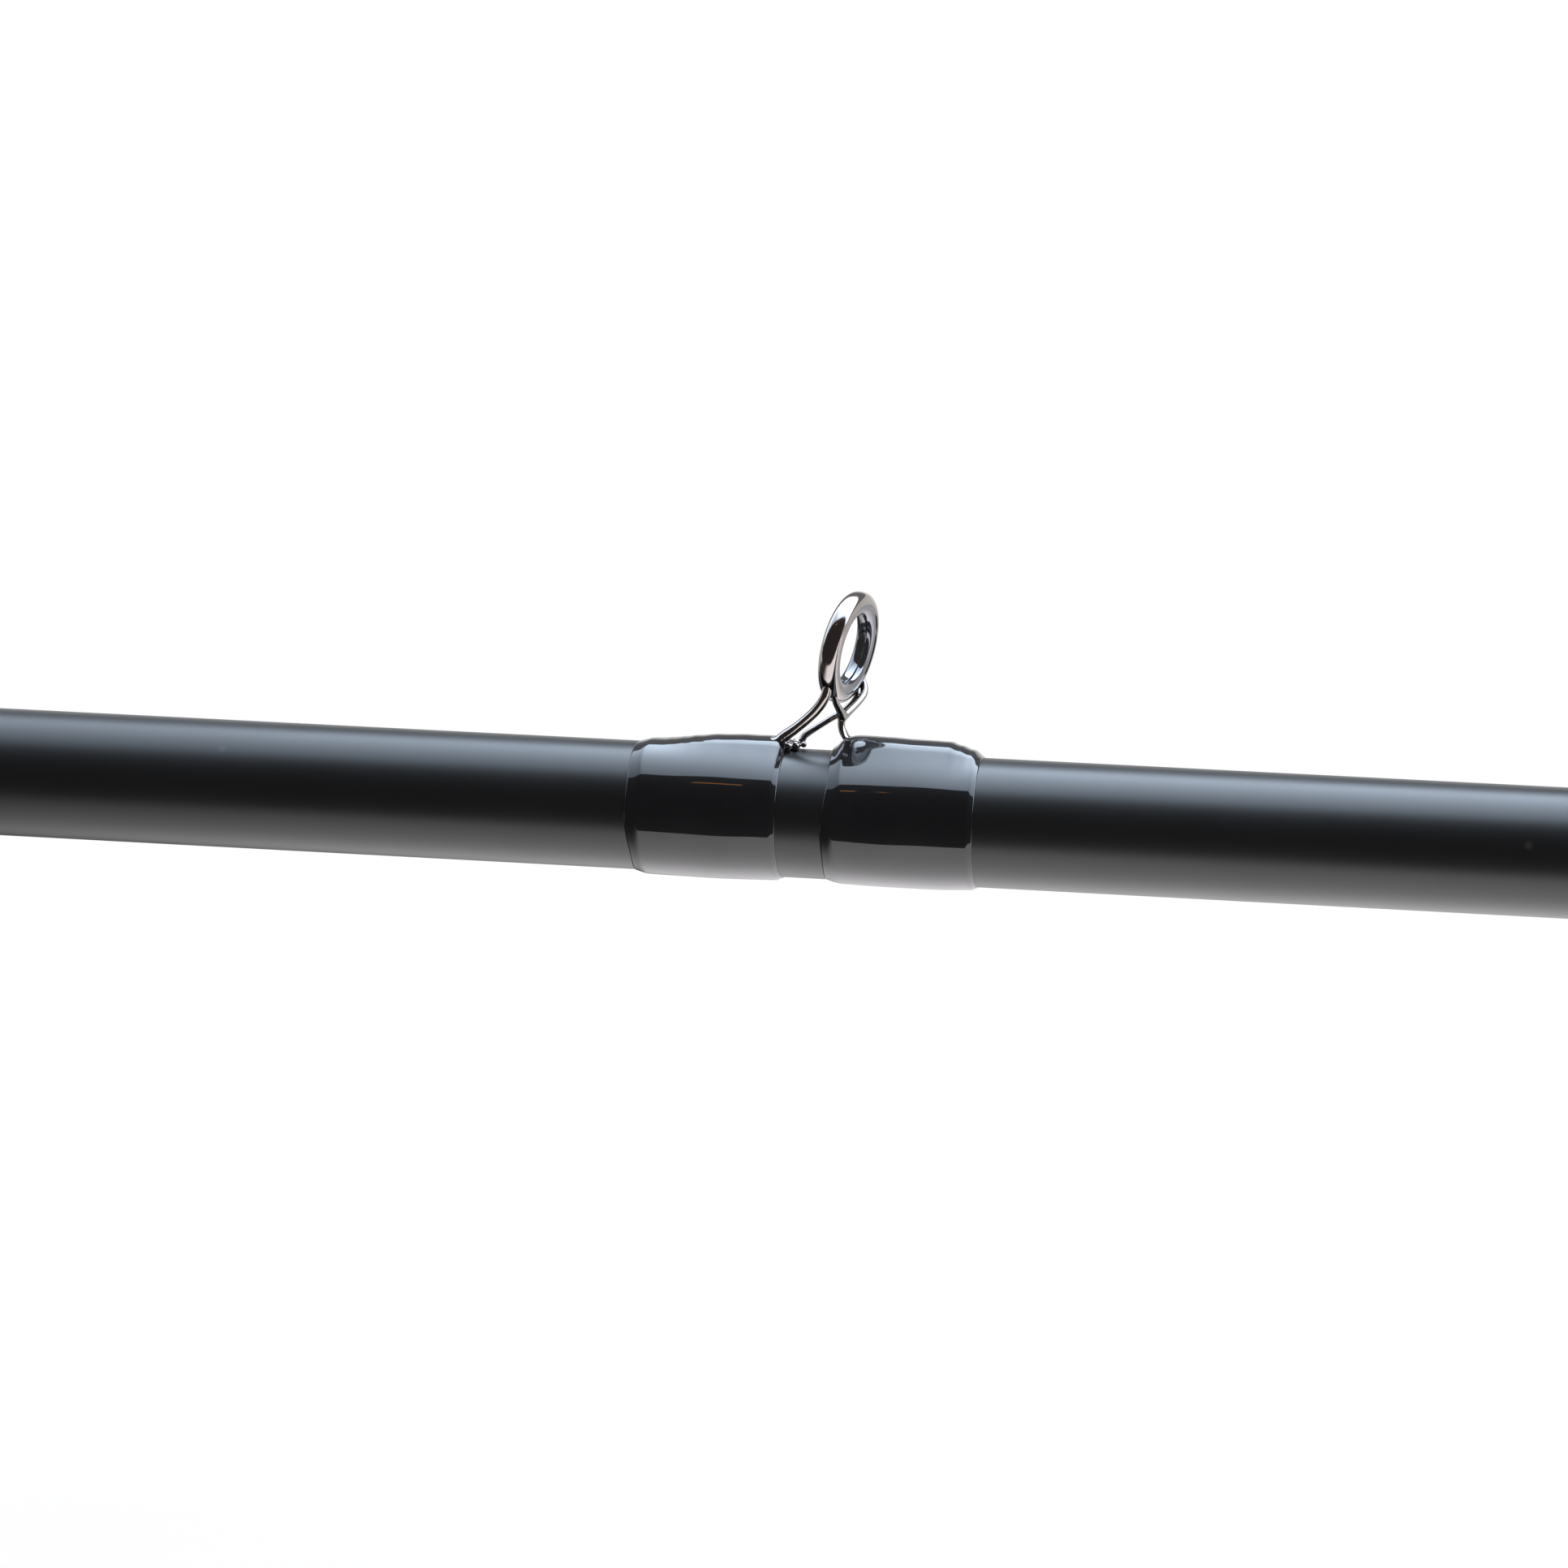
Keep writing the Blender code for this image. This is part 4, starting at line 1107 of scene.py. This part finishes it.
class ROD_OT_guides(bpy.types.Operator):
    """Build every guide's frame and its polished ring"""

    bl_idname = "rod.guides"
    bl_label = "Guides"

    def execute(self, context):
        guides = settings("rod_guides")
        for guide, size in GUIDE_SIZES.items():
            node = f"guide_{guide}_ring"
            centre = middle_of(node)
            basis = ring_basis(centre, guides.bent_twist if guide == BENT_GUIDE else 0.0)
            work = bmesh.new()
            if guide == BENT_GUIDE:
                bent_wires(work, centre.x)
                wires = fused("wires", work, 0.045 * MM)
            else:
                frame_wires(work, size, centre, centre.z - size["height"])
                wires = fused("wires", work, guides.weld * size["wire"])
            band = lathed("band", band_outline(size), 160, basis)
            frame_mesh = joined(f"guide_{guide}_frame_polished", [band, wires])
            add_piece(f"guide_{guide}_frame_polished", frame_mesh, "polished_steel",
                      [f"guide_{guide}_frame"], 50)
            insert = lathed("insert", insert_outline(size), 160, basis)
            add_piece(f"guide_{guide}_ring_polished", insert, "polished_ring", [node], 60)
        return {"FINISHED"}


class ROD_OT_tip_top(bpy.types.Operator):
    """Build the tip-top's tube, braces and ring"""

    bl_idname = "rod.tip_top"
    bl_label = "Tip-top"

    def execute(self, context):
        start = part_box("tip_top_frame")[0].x
        centre = middle_of("tip_top_ring")
        basis = ring_basis(centre)
        outer = blank_radius(start) + 0.52 * MM
        end = centre.x + 1.4 * MM
        outline = rounded([(start, 0), (start, outer * 0.97), (end, outer), (end, 0)], 0.5 * MM, 6)
        tube = lathed("tube", outline, 96)
        work = bmesh.new()
        reach = (SMALL["band"] + SMALL["insert"]) / 2
        for side in (-1, 1):
            turn = math.radians(side * 100)
            top = basis @ Vector((0, -reach * math.sin(turn), reach * math.cos(turn)))
            land = Vector((centre.x - 9 * MM, -side * 0.6 * outer, 0.8 * outer))
            sweep(work, [(top, 0.3 * MM, 0.3 * MM), ((top + land) / 2, 0.34 * MM, 0.34 * MM),
                         (land, 0.34 * MM, 0.3 * MM)])
        ball(work, Vector((centre.x, 0, centre.z - SMALL["band"])), 0.8 * MM, (1.2, 1.6, 0.7))
        wires = fused("braces", work, 0.06 * MM)
        band = lathed("band", band_outline(SMALL), 160, basis)
        add_piece("tip_top_frame_polished", joined("tip_top_frame", [tube, wires, band]), "polished_steel",
                  ["tip_top_frame"], 50)
        insert = lathed("insert", insert_outline(SMALL), 160, basis)
        add_piece("tip_top_ring_polished", insert, "polished_ring", ["tip_top_ring"], 60)
        return {"FINISHED"}


# Handle


def grip_mesh(node, bore_of, radius_of):
    """A grip whose ends are rounded and whose radius is radius_of(share of its length)."""
    low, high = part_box(node)
    length = high.x - low.x
    spans = 48
    outline = []
    for step in range(spans + 1):
        share = step / spans
        edge = min(share, 1 - share) * length / (1.6 * MM)
        drop = 1.0 * MM * (1 - math.sqrt(1 - (1 - min(edge, 1.0)) ** 2))
        outline.append((low.x + length * share, radius_of(share) - drop))
    outline += [(high.x, bore_of(high.x)), (low.x, bore_of(low.x))]
    return lathed(node, outline, 128)


class ROD_OT_grips(bpy.types.Operator):
    """Build the foam grips and the rubber butt cap"""

    bl_idname = "rod.grips"
    bl_label = "Grips and butt cap"

    def execute(self, context):
        handle = settings("rod_handle")
        radius, nose = handle.grip_radius, handle.nose_radius

        def bore(x):
            return blank_radius(x) + GLUE_GAP

        def rear(share):
            return radius + 1.3 * MM * share * math.sin(math.pi * share)

        def fore(share):
            return radius + (nose - radius) * share ** 1.4

        add_piece("rear_grip_foam", grip_mesh("rear_grip", bore, rear), "black_foam", ["rear_grip"])
        add_piece("fore_grip_foam", grip_mesh("fore_grip", bore, fore), "black_foam", ["fore_grip"])
        low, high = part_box("butt_cap")
        cap_radius = high.z
        outline = [(low.x, 0), (low.x, 10.5 * MM)]
        for step in range(1, 9):
            turn = math.pi / 2 * step / 8
            outline.append((low.x + 4.5 * MM * (1 - math.cos(turn)), 10.5 * MM + 4.5 * MM * math.sin(turn)))
        for groove in range(4):
            middle = low.x + (8.0 + 2.6 * groove) * MM
            outline += [(middle - 0.6 * MM, cap_radius), (middle - 0.3 * MM, cap_radius - 0.5 * MM),
                        (middle + 0.3 * MM, cap_radius - 0.5 * MM), (middle + 0.6 * MM, cap_radius)]
        outline += [(low.x + 18 * MM, cap_radius), (high.x, radius + 0.1 * MM), (high.x, bore(high.x)),
                    (low.x + 6 * MM, bore(low.x)), (low.x + 6 * MM, 0)]
        add_piece("butt_cap_rubber", lathed("butt_cap", outline, 128), "black_rubber", ["butt_cap"], 35)
        return {"FINISHED"}


class ROD_OT_checks(bpy.types.Operator):
    """Build the turned winding checks and the cork arbors inside the seat"""

    bl_idname = "rod.checks"
    bl_label = "Winding checks and arbors"

    def execute(self, context):
        for node in ("rear_check", "front_check", "fore_check"):
            low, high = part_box(node)
            outer = high.z
            inner = blank_radius(high.x) + GLUE_GAP
            third = (high.x - low.x) / 3
            outline = rounded([
                (low.x, inner), (low.x, outer), (low.x + third, outer),
                (low.x + third * 1.2, outer - 0.5 * MM),
                (low.x + third * 1.8, outer - 0.5 * MM), (low.x + third * 2, outer), (high.x, outer),
                (high.x, inner)], 0.5 * MM, 4)
            add_piece(node + "_turned", lathed(node, outline, 128), "grey_aluminium", [node], 35)
        for node in ("seat_arbor_rear", "seat_arbor_middle", "seat_arbor_front"):
            low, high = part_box(node)
            inner = blank_radius(low.x) + 0.1 * MM
            outline = [(low.x, inner), (low.x, high.z), (high.x, high.z), (high.x, inner)]
            add_piece(node + "_cork", lathed(node, rounded(outline, 0.3 * MM, 2), 64), "arbor_cork", [node])
        return {"FINISHED"}


class ROD_OT_reel_seat(bpy.types.Operator):
    """Build the reel seat's body with its flat bed and its screw thread"""

    bl_idname = "rod.reel_seat"
    bl_label = "Reel seat body"

    def execute(self, context):
        handle = settings("rod_handle")
        low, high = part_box("reel_seat_body")
        barrel, flange = handle.barrel_radius, SEAT_FLANGE
        bed_start, bed_end = low.x + BED_FROM_REAR, high.x - flange - BED_FROM_FLANGE
        outline = rounded([
            (low.x, SEAT_BORE), (low.x, handle.grip_radius), (low.x + flange, handle.grip_radius),
            (low.x + flange, barrel), (high.x - flange, barrel), (high.x - flange, handle.grip_radius),
            (high.x, handle.grip_radius), (high.x, SEAT_BORE)], 0.45 * MM, 4)
        body = lathed("reel_seat_body", outline, 144)
        turns = (bed_start - low.x - flange - 3 * MM) / handle.thread_pitch
        tree = thread_tree(finish("black_graphite"))
        thread = tree.build({"Radius": barrel - 0.08 * MM, "Pitch": handle.thread_pitch, "Turns": turns,
                             "Ridge": 0.22 * MM})
        thread.transform(Matrix.Translation((low.x + flange + 1.5 * MM, 0, 0)))
        bed = box_mesh((bed_start, -0.03, handle.bed_height), (bed_end, 0.03, 0.03))
        body = boolean(body, [bed], "DIFFERENCE")
        add_piece("reel_seat_body_threaded", joined("reel_seat_body", [body, thread]), "black_graphite",
                  ["reel_seat_body"], 32)
        return {"FINISHED"}


def hood_form(start, inset, back, front, mirrored):
    """A hood's form drawn in by inset: a ring joined to a dome that rises to the mouth."""
    length, radius, centre, mouth = HOOD_LENGTH, HOOD_RADIUS, HOOD_DOME_CENTRE, HOOD_MOUTH
    back_radius = radius - centre + 1.3 * MM
    meshes = []
    for middle, low_radius, high_radius in (
            (0.0, radius, radius),
            (centre, back_radius + (mouth - back_radius) * back / length,
             back_radius + (mouth - back_radius) * front / length)):
        low, high = back, front
        if mirrored:
            low, high = length - front, length - back
            low_radius, high_radius = high_radius, low_radius
        meshes.append(lathed("hood_form", [
            (start + low, 0), (start + low, low_radius - inset), (start + high, high_radius - inset),
            (start + high, 0)], 96, Matrix.Translation((0, 0, middle))))
    return boolean(meshes[0], meshes[1:], "UNION")


def hood_bore(start, radius):
    """A cutter for the way through a hood, longer than the hood at both ends."""
    low, high = start - 2 * MM, start + HOOD_LENGTH + 2 * MM
    return lathed("hood_bore", [(low, 0), (low, radius), (high, radius), (high, 0)], 96)


class ROD_OT_hoods(bpy.types.Operator):
    """Build the two reel-foot hoods and their liners"""

    bl_idname = "rod.hoods"
    bl_label = "Hoods and liners"

    def execute(self, context):
        bore = settings("rod_handle").barrel_radius + RUNNING_GAP
        past = HOOD_LENGTH + 2 * MM
        for node, mirrored in (("sliding_hood", False), ("fixed_hood", True)):
            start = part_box(node)[0].x
            hollow = hood_form(start, 1.1 * MM, 1.1 * MM, past, mirrored)
            shell = boolean(hood_form(start, 0.0, 0.0, HOOD_LENGTH, mirrored),
                            [hollow, hood_bore(start, bore)], "DIFFERENCE")
            add_piece(node + "_polished", bevelled(shell, 0.25 * MM), "polished_steel", [node], 35)
            pocket = hood_form(start, 2.4 * MM, 7 * MM, past, mirrored)
            liner = boolean(hood_form(start, 1.4 * MM, 1.4 * MM, HOOD_LENGTH - RUNNING_GAP, mirrored),
                            [pocket, hood_bore(start, bore)], "DIFFERENCE")
            add_piece(node + "_liner_moulded", bevelled(liner, 0.15 * MM), "black_graphite",
                      [node + "_liner"], 35)
        return {"FINISHED"}


class ROD_OT_lock_nut(bpy.types.Operator):
    """Build the lock nut with its ribs"""

    bl_idname = "rod.lock_nut"
    bl_label = "Lock nut"

    def execute(self, context):
        handle = settings("rod_handle")
        low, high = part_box("lock_nut")
        radius = handle.nut_radius
        core = radius - 0.55 * MM
        bore = handle.barrel_radius + RUNNING_GAP
        outline = rounded([
            (low.x, bore), (low.x, core - 0.7 * MM), (low.x + 1.2 * MM, core + 0.35 * MM),
            (low.x + 2.0 * MM, core), (high.x - 2.0 * MM, core), (high.x - 1.2 * MM, core + 0.35 * MM),
            (high.x, core - 0.7 * MM), (high.x, bore)], 0.4 * MM, 4)
        body = lathed("lock_nut", outline, 144)
        width = 0.62 * MM
        tree = ribs_tree(finish("grey_aluminium"))
        ribs = tree.build({"Radius": radius - width, "Count": handle.nut_ribs,
                           "Length": high.x - low.x - 3.6 * MM, "Width": width})
        ribs.transform(Matrix.Translation(((low.x + high.x) / 2, 0, 0)))
        add_piece("lock_nut_ribbed", joined("lock_nut", [body, ribs]), "grey_aluminium", ["lock_nut"], 35)
        return {"FINISHED"}


class ROD_OT_keeper(bpy.types.Operator):
    """Build the hook keeper's strip, barrel and folding loop"""

    bl_idname = "rod.keeper"
    bl_label = "Hook keeper"

    def execute(self, context):
        low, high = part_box("keeper_base")
        middle = (low.x + high.x) / 2
        loop_low, loop_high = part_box("keeper_loop")
        axis = (loop_low.z + loop_high.z) / 2
        strip = box_mesh((low.x, -1.2 * MM, low.z), (high.x, 1.2 * MM, low.z + 0.5 * MM))
        hinge = Matrix.Translation((middle, 0, axis)) @ Matrix.Rotation(math.pi / 2, 4, "Z")
        barrel = lathed(
            "barrel", [(-2 * MM, 0), (-2 * MM, 1.3 * MM), (2 * MM, 1.3 * MM), (2 * MM, 0)], 64, hinge)
        bore = lathed(
            "bore", [(-4 * MM, 0), (-4 * MM, 0.6 * MM), (4 * MM, 0.6 * MM), (4 * MM, 0)], 48, hinge)
        base = boolean(boolean(strip, [barrel], "UNION"), [bore], "DIFFERENCE")
        add_piece("keeper_base_polished", bevelled(base, 0.12 * MM), "polished_steel", ["keeper_base"], 35)
        half = loop_high.y - KEEPER_WIRE
        length = loop_high.x - KEEPER_WIRE - middle
        corner = KEEPER_CORNER
        outline = arc(corner, -half + corner, corner, math.pi, math.pi / 2, 6)
        outline += arc(length - half, 0, half, -math.pi / 2, math.pi, 24)
        outline += arc(corner, half - corner, corner, math.pi / 2, math.pi / 2, 6)
        mesh = loop_mesh("keeper_loop", outline, Vector((middle, 0, axis)), KEEPER_WIRE)
        add_piece("keeper_loop_polished", mesh, "polished_steel", ["keeper_loop"], 60)
        return {"FINISHED"}


def arc(x, y, radius, start, turned, steps):
    """Points round a centre from an angle on, with both ends."""
    turns = [start + turned * step / steps for step in range(steps + 1)]
    return [(x + radius * math.cos(turn), y + radius * math.sin(turn)) for turn in turns]


def loop_mesh(name, outline, origin, radius, sides=20):
    """A round wire bent along a closed flat outline."""
    rings = []
    for index, (x, y) in enumerate(outline):
        before, after = outline[index - 1], outline[(index + 1) % len(outline)]
        ahead = Vector((after[0] - before[0], after[1] - before[1], 0)).normalized()
        out = Vector((ahead.y, -ahead.x, 0))
        turns = [math.tau * step / sides for step in range(sides)]
        rings.append([origin + Vector((x, y, 0)) + (
            out * math.cos(turn) + Vector((0, 0, 1)) * math.sin(turn)) * radius for turn in turns])
    return from_rings(name, rings)


# Stage


def card(name, points, faces, visible=("glossy",)):
    """A lighting card that the camera never sees; visible lists the kinds of ray that meet it."""
    mesh = bpy.data.meshes.new(name)
    mesh.from_pydata(points, [], faces)
    made = new_object(name, mesh)
    for kind in ("camera", "diffuse", "glossy", "transmission", "volume_scatter", "shadow"):
        setattr(made, "visible_" + kind, kind in visible)
    return made


def flat_card(name, outline, height):
    """A level card."""
    return card(name, [(x, y, height) for x, y in outline], [tuple(range(len(outline)))])


def curved_card(name, start, end, low, high, radius):
    """A card bent about the rod, from one height angle to another; 90 degrees is straight up."""
    rows = 24
    points, faces = [], []
    for row in range(rows + 1):
        lift = math.radians(low + (high - low) * row / rows)
        points += [(x, -radius * math.cos(lift), radius * math.sin(lift)) for x in (start, end)]
    for row in range(rows):
        faces.append((2 * row, 2 * row + 1, 2 * row + 3, 2 * row + 2))
    return card(name, points, faces)


def glowing(made, shade, strength, share=None):
    """Makes a card glow; share works out the part of its brightness at each place."""
    glow_material = bpy.data.materials.new(made.name + "_glow")
    shader = Shader(glow_material)
    shader.nodes.clear()
    shade = tuple(shade)
    tone = shader.blend(share(shader), (0.0, 0.0, 0.0), shade) if share else (*shade, 1.0)
    glow = shader.node("ShaderNodeEmission", None, {"Color": tone, "Strength": strength})
    shader.node("ShaderNodeOutputMaterial", None, {"Surface": glow.out(0)})
    made.data.materials.append(glow_material)


class ROD_OT_stage(bpy.types.Operator):
    """Set the floor, the soft light and the camera"""

    bl_idname = "rod.stage"
    bl_label = "Stage"

    def execute(self, context):
        stage = settings("rod_stage")
        scene = context.scene
        scene.view_settings.view_transform = "Standard"
        self.surround(scene, stage)
        self.floor(stage)
        self.cards(stage)
        self.camera(scene, stage)
        return {"FINISHED"}

    def surround(self, scene, stage):
        """A white world that fills the shadows."""
        world = bpy.data.worlds.new("white_studio")
        scene.world = world
        world.use_nodes = True
        white = world.node_tree.nodes["Background"]
        white.inputs["Color"].default_value = (1.0, 1.0, 1.0, 1.0)
        white.inputs["Strength"].default_value = stage.surround

    def floor(self, stage):
        """A plain pale floor."""
        reach, depth = FLOOR_REACH, -stage.floor_depth
        made = card("floor", [(-reach, -reach, depth), (reach, -reach, depth), (reach, reach, depth),
                              (-reach, reach, depth)], [(0, 1, 2, 3)],
                    ("camera", "diffuse", "glossy", "transmission", "volume_scatter", "shadow"))
        paint, shader, surface = make_finish("pale_floor", {"Roughness": 0.8})
        grain = shader.noise(shader.place(), 9.0, 3.0)
        pale = tuple(stage.floor_colour)
        shader.fill(surface, {"Base Color": shader.blend(grain, pale, tuple(part * 0.985 for part in pale))})
        made.data.materials.append(paint)

    def cards(self, stage):
        """Bright and dark cards, seen only as reflections on the glossy pieces."""
        left, right = CARD_BUTT_END, CARD_TIP_END
        ring = middle_of("guide_3_ring").x

        def softbox_share(shader):
            x, y = shader.axes()[:2]
            across = shader.profile(y, ((-0.39, 0.33), (-0.16, 0.52), (0.10, 0.80), (0.25, 1.0)))
            along_rod = shader.profile(x - ring, (
                (-0.33, 0.42), (-0.28, 0.46), (-0.22, 0.70), (-0.04, 1.0), (0.04, 0.92), (0.3, 0.9)))
            return across * along_rod

        def table_share(shader):
            x, y = shader.axes()[:2]
            along_rod = shader.profile(x - ring, (
                (-1.4, 0.8), (-0.9, 0.05), (-0.33, 0.03), (-0.26, 0.15), (-0.21, 0.5), (-0.16, 0.8),
                (-0.05, 1.0)))
            return along_rod * shader.profile(y, (
                (-0.41, 0.74), (-0.16, 0.78), (0.0, 0.9), (0.15, 1.0), (0.5, 0.6), (1.1, 0.35)))

        softbox = flat_card("overhead_softbox", (
            (left, SOFTBOX_NEAR), (left, SOFTBOX_FAR), (right, SOFTBOX_FAR), (right, SOFTBOX_NEAR)),
            SOFTBOX_HEIGHT)
        glowing(softbox, stage.softbox_colour, stage.softbox, softbox_share)
        table = flat_card("lit_table", (
            (left, TABLE_NEAR), (right, TABLE_NEAR), (right, TABLE_FAR), (left, TABLE_FAR)),
            TABLE_LIFT - stage.floor_depth)
        glowing(table, (1.0, 0.98, 1.0), stage.table, table_share)
        glowing(curved_card("dark_side", left, right, -40.4, 57.5, 0.50), stage.dark_side, 1.0)
        glowing(curved_card("dark_back", left, right, 121.6, 152, 0.69), stage.dark_back, 1.0)
        warm = curved_card("warm_strip", ring - 0.106, ring - 0.088, 45.4, 47.2, 0.49)
        glowing(warm, (1.0, 0.42, 0.12), 3.2)
        copper = curved_card("copper_patch", ring - 0.275, ring - 0.235, -41, -35, 0.49)
        glowing(copper, (1.0, 0.46, 0.25), 0.55)

    def camera(self, scene, stage):
        """A camera turned round the third guide."""
        lens = bpy.data.cameras.new("studio_camera")
        lens.sensor_width = 36.0
        lens.angle = stage.camera_field
        lens.clip_start = 0.01
        lens.clip_end = 100.0
        made = bpy.data.objects.new("studio_camera", lens)
        scene.collection.objects.link(made)
        turn, lift, roll = stage.camera_turn, stage.camera_height, stage.camera_roll
        back = Vector((math.sin(turn) * math.cos(lift), -math.cos(turn) * math.cos(lift), math.sin(lift)))
        ring = middle_of("guide_3_ring")
        target = Vector((ring.x + stage.target_ahead, 0, stage.target_height))
        right = Vector((math.cos(turn), math.sin(turn), 0))
        up = back.cross(right)
        across = right * math.cos(roll) + up * math.sin(roll)
        above = up * math.cos(roll) - right * math.sin(roll)
        made.matrix_world = Matrix.Translation(target + back * stage.camera_distance) @ Matrix((
            (across.x, above.x, back.x, 0), (across.y, above.y, back.y, 0), (across.z, above.z, back.z, 0),
            (0, 0, 0, 1)))
        scene.camera = made


# Add-on


class ROD_PT_sidebar(bpy.types.Panel):
    """The rod's pieces and their sizes"""

    bl_idname = "ROD_PT_sidebar"
    bl_label = "Spinning rod"
    bl_space_type = "VIEW_3D"
    bl_region_type = "UI"
    bl_category = "Rod"

    def draw(self, context):
        for operator in OPERATORS:
            self.layout.operator(operator.bl_idname)
        for name, group in GROUPS.items():
            box = self.layout.box()
            for key in group.__annotations__:
                box.prop(getattr(context.scene, name), key)


GROUPS = {
    "rod_blank": RodBlankSettings,
    "rod_wraps": RodWrapSettings,
    "rod_guides": RodGuideSettings,
    "rod_handle": RodHandleSettings,
    "rod_stage": RodStageSettings,
}
OPERATORS = (
    ROD_OT_blanks, ROD_OT_wraps, ROD_OT_guides, ROD_OT_tip_top, ROD_OT_grips, ROD_OT_checks,
    ROD_OT_reel_seat, ROD_OT_hoods, ROD_OT_lock_nut, ROD_OT_keeper, ROD_OT_stage,
)


def register():
    for made in (*GROUPS.values(), *OPERATORS, ROD_PT_sidebar):
        bpy.utils.register_class(made)
    for name, group in GROUPS.items():
        setattr(bpy.types.Scene, name, bpy.props.PointerProperty(type=group))


def unregister():
    for name in GROUPS:
        delattr(bpy.types.Scene, name)
    for made in (ROD_PT_sidebar, *reversed(OPERATORS), *reversed(GROUPS.values())):
        bpy.utils.unregister_class(made)


def main():
    register()
    bpy.ops.rod.blanks()
    bpy.ops.rod.wraps()
    bpy.ops.rod.guides()
    bpy.ops.rod.tip_top()
    bpy.ops.rod.grips()
    bpy.ops.rod.checks()
    bpy.ops.rod.reel_seat()
    bpy.ops.rod.hoods()
    bpy.ops.rod.lock_nut()
    bpy.ops.rod.keeper()
    bpy.ops.rod.stage()


if __name__ == "__main__":
    main()
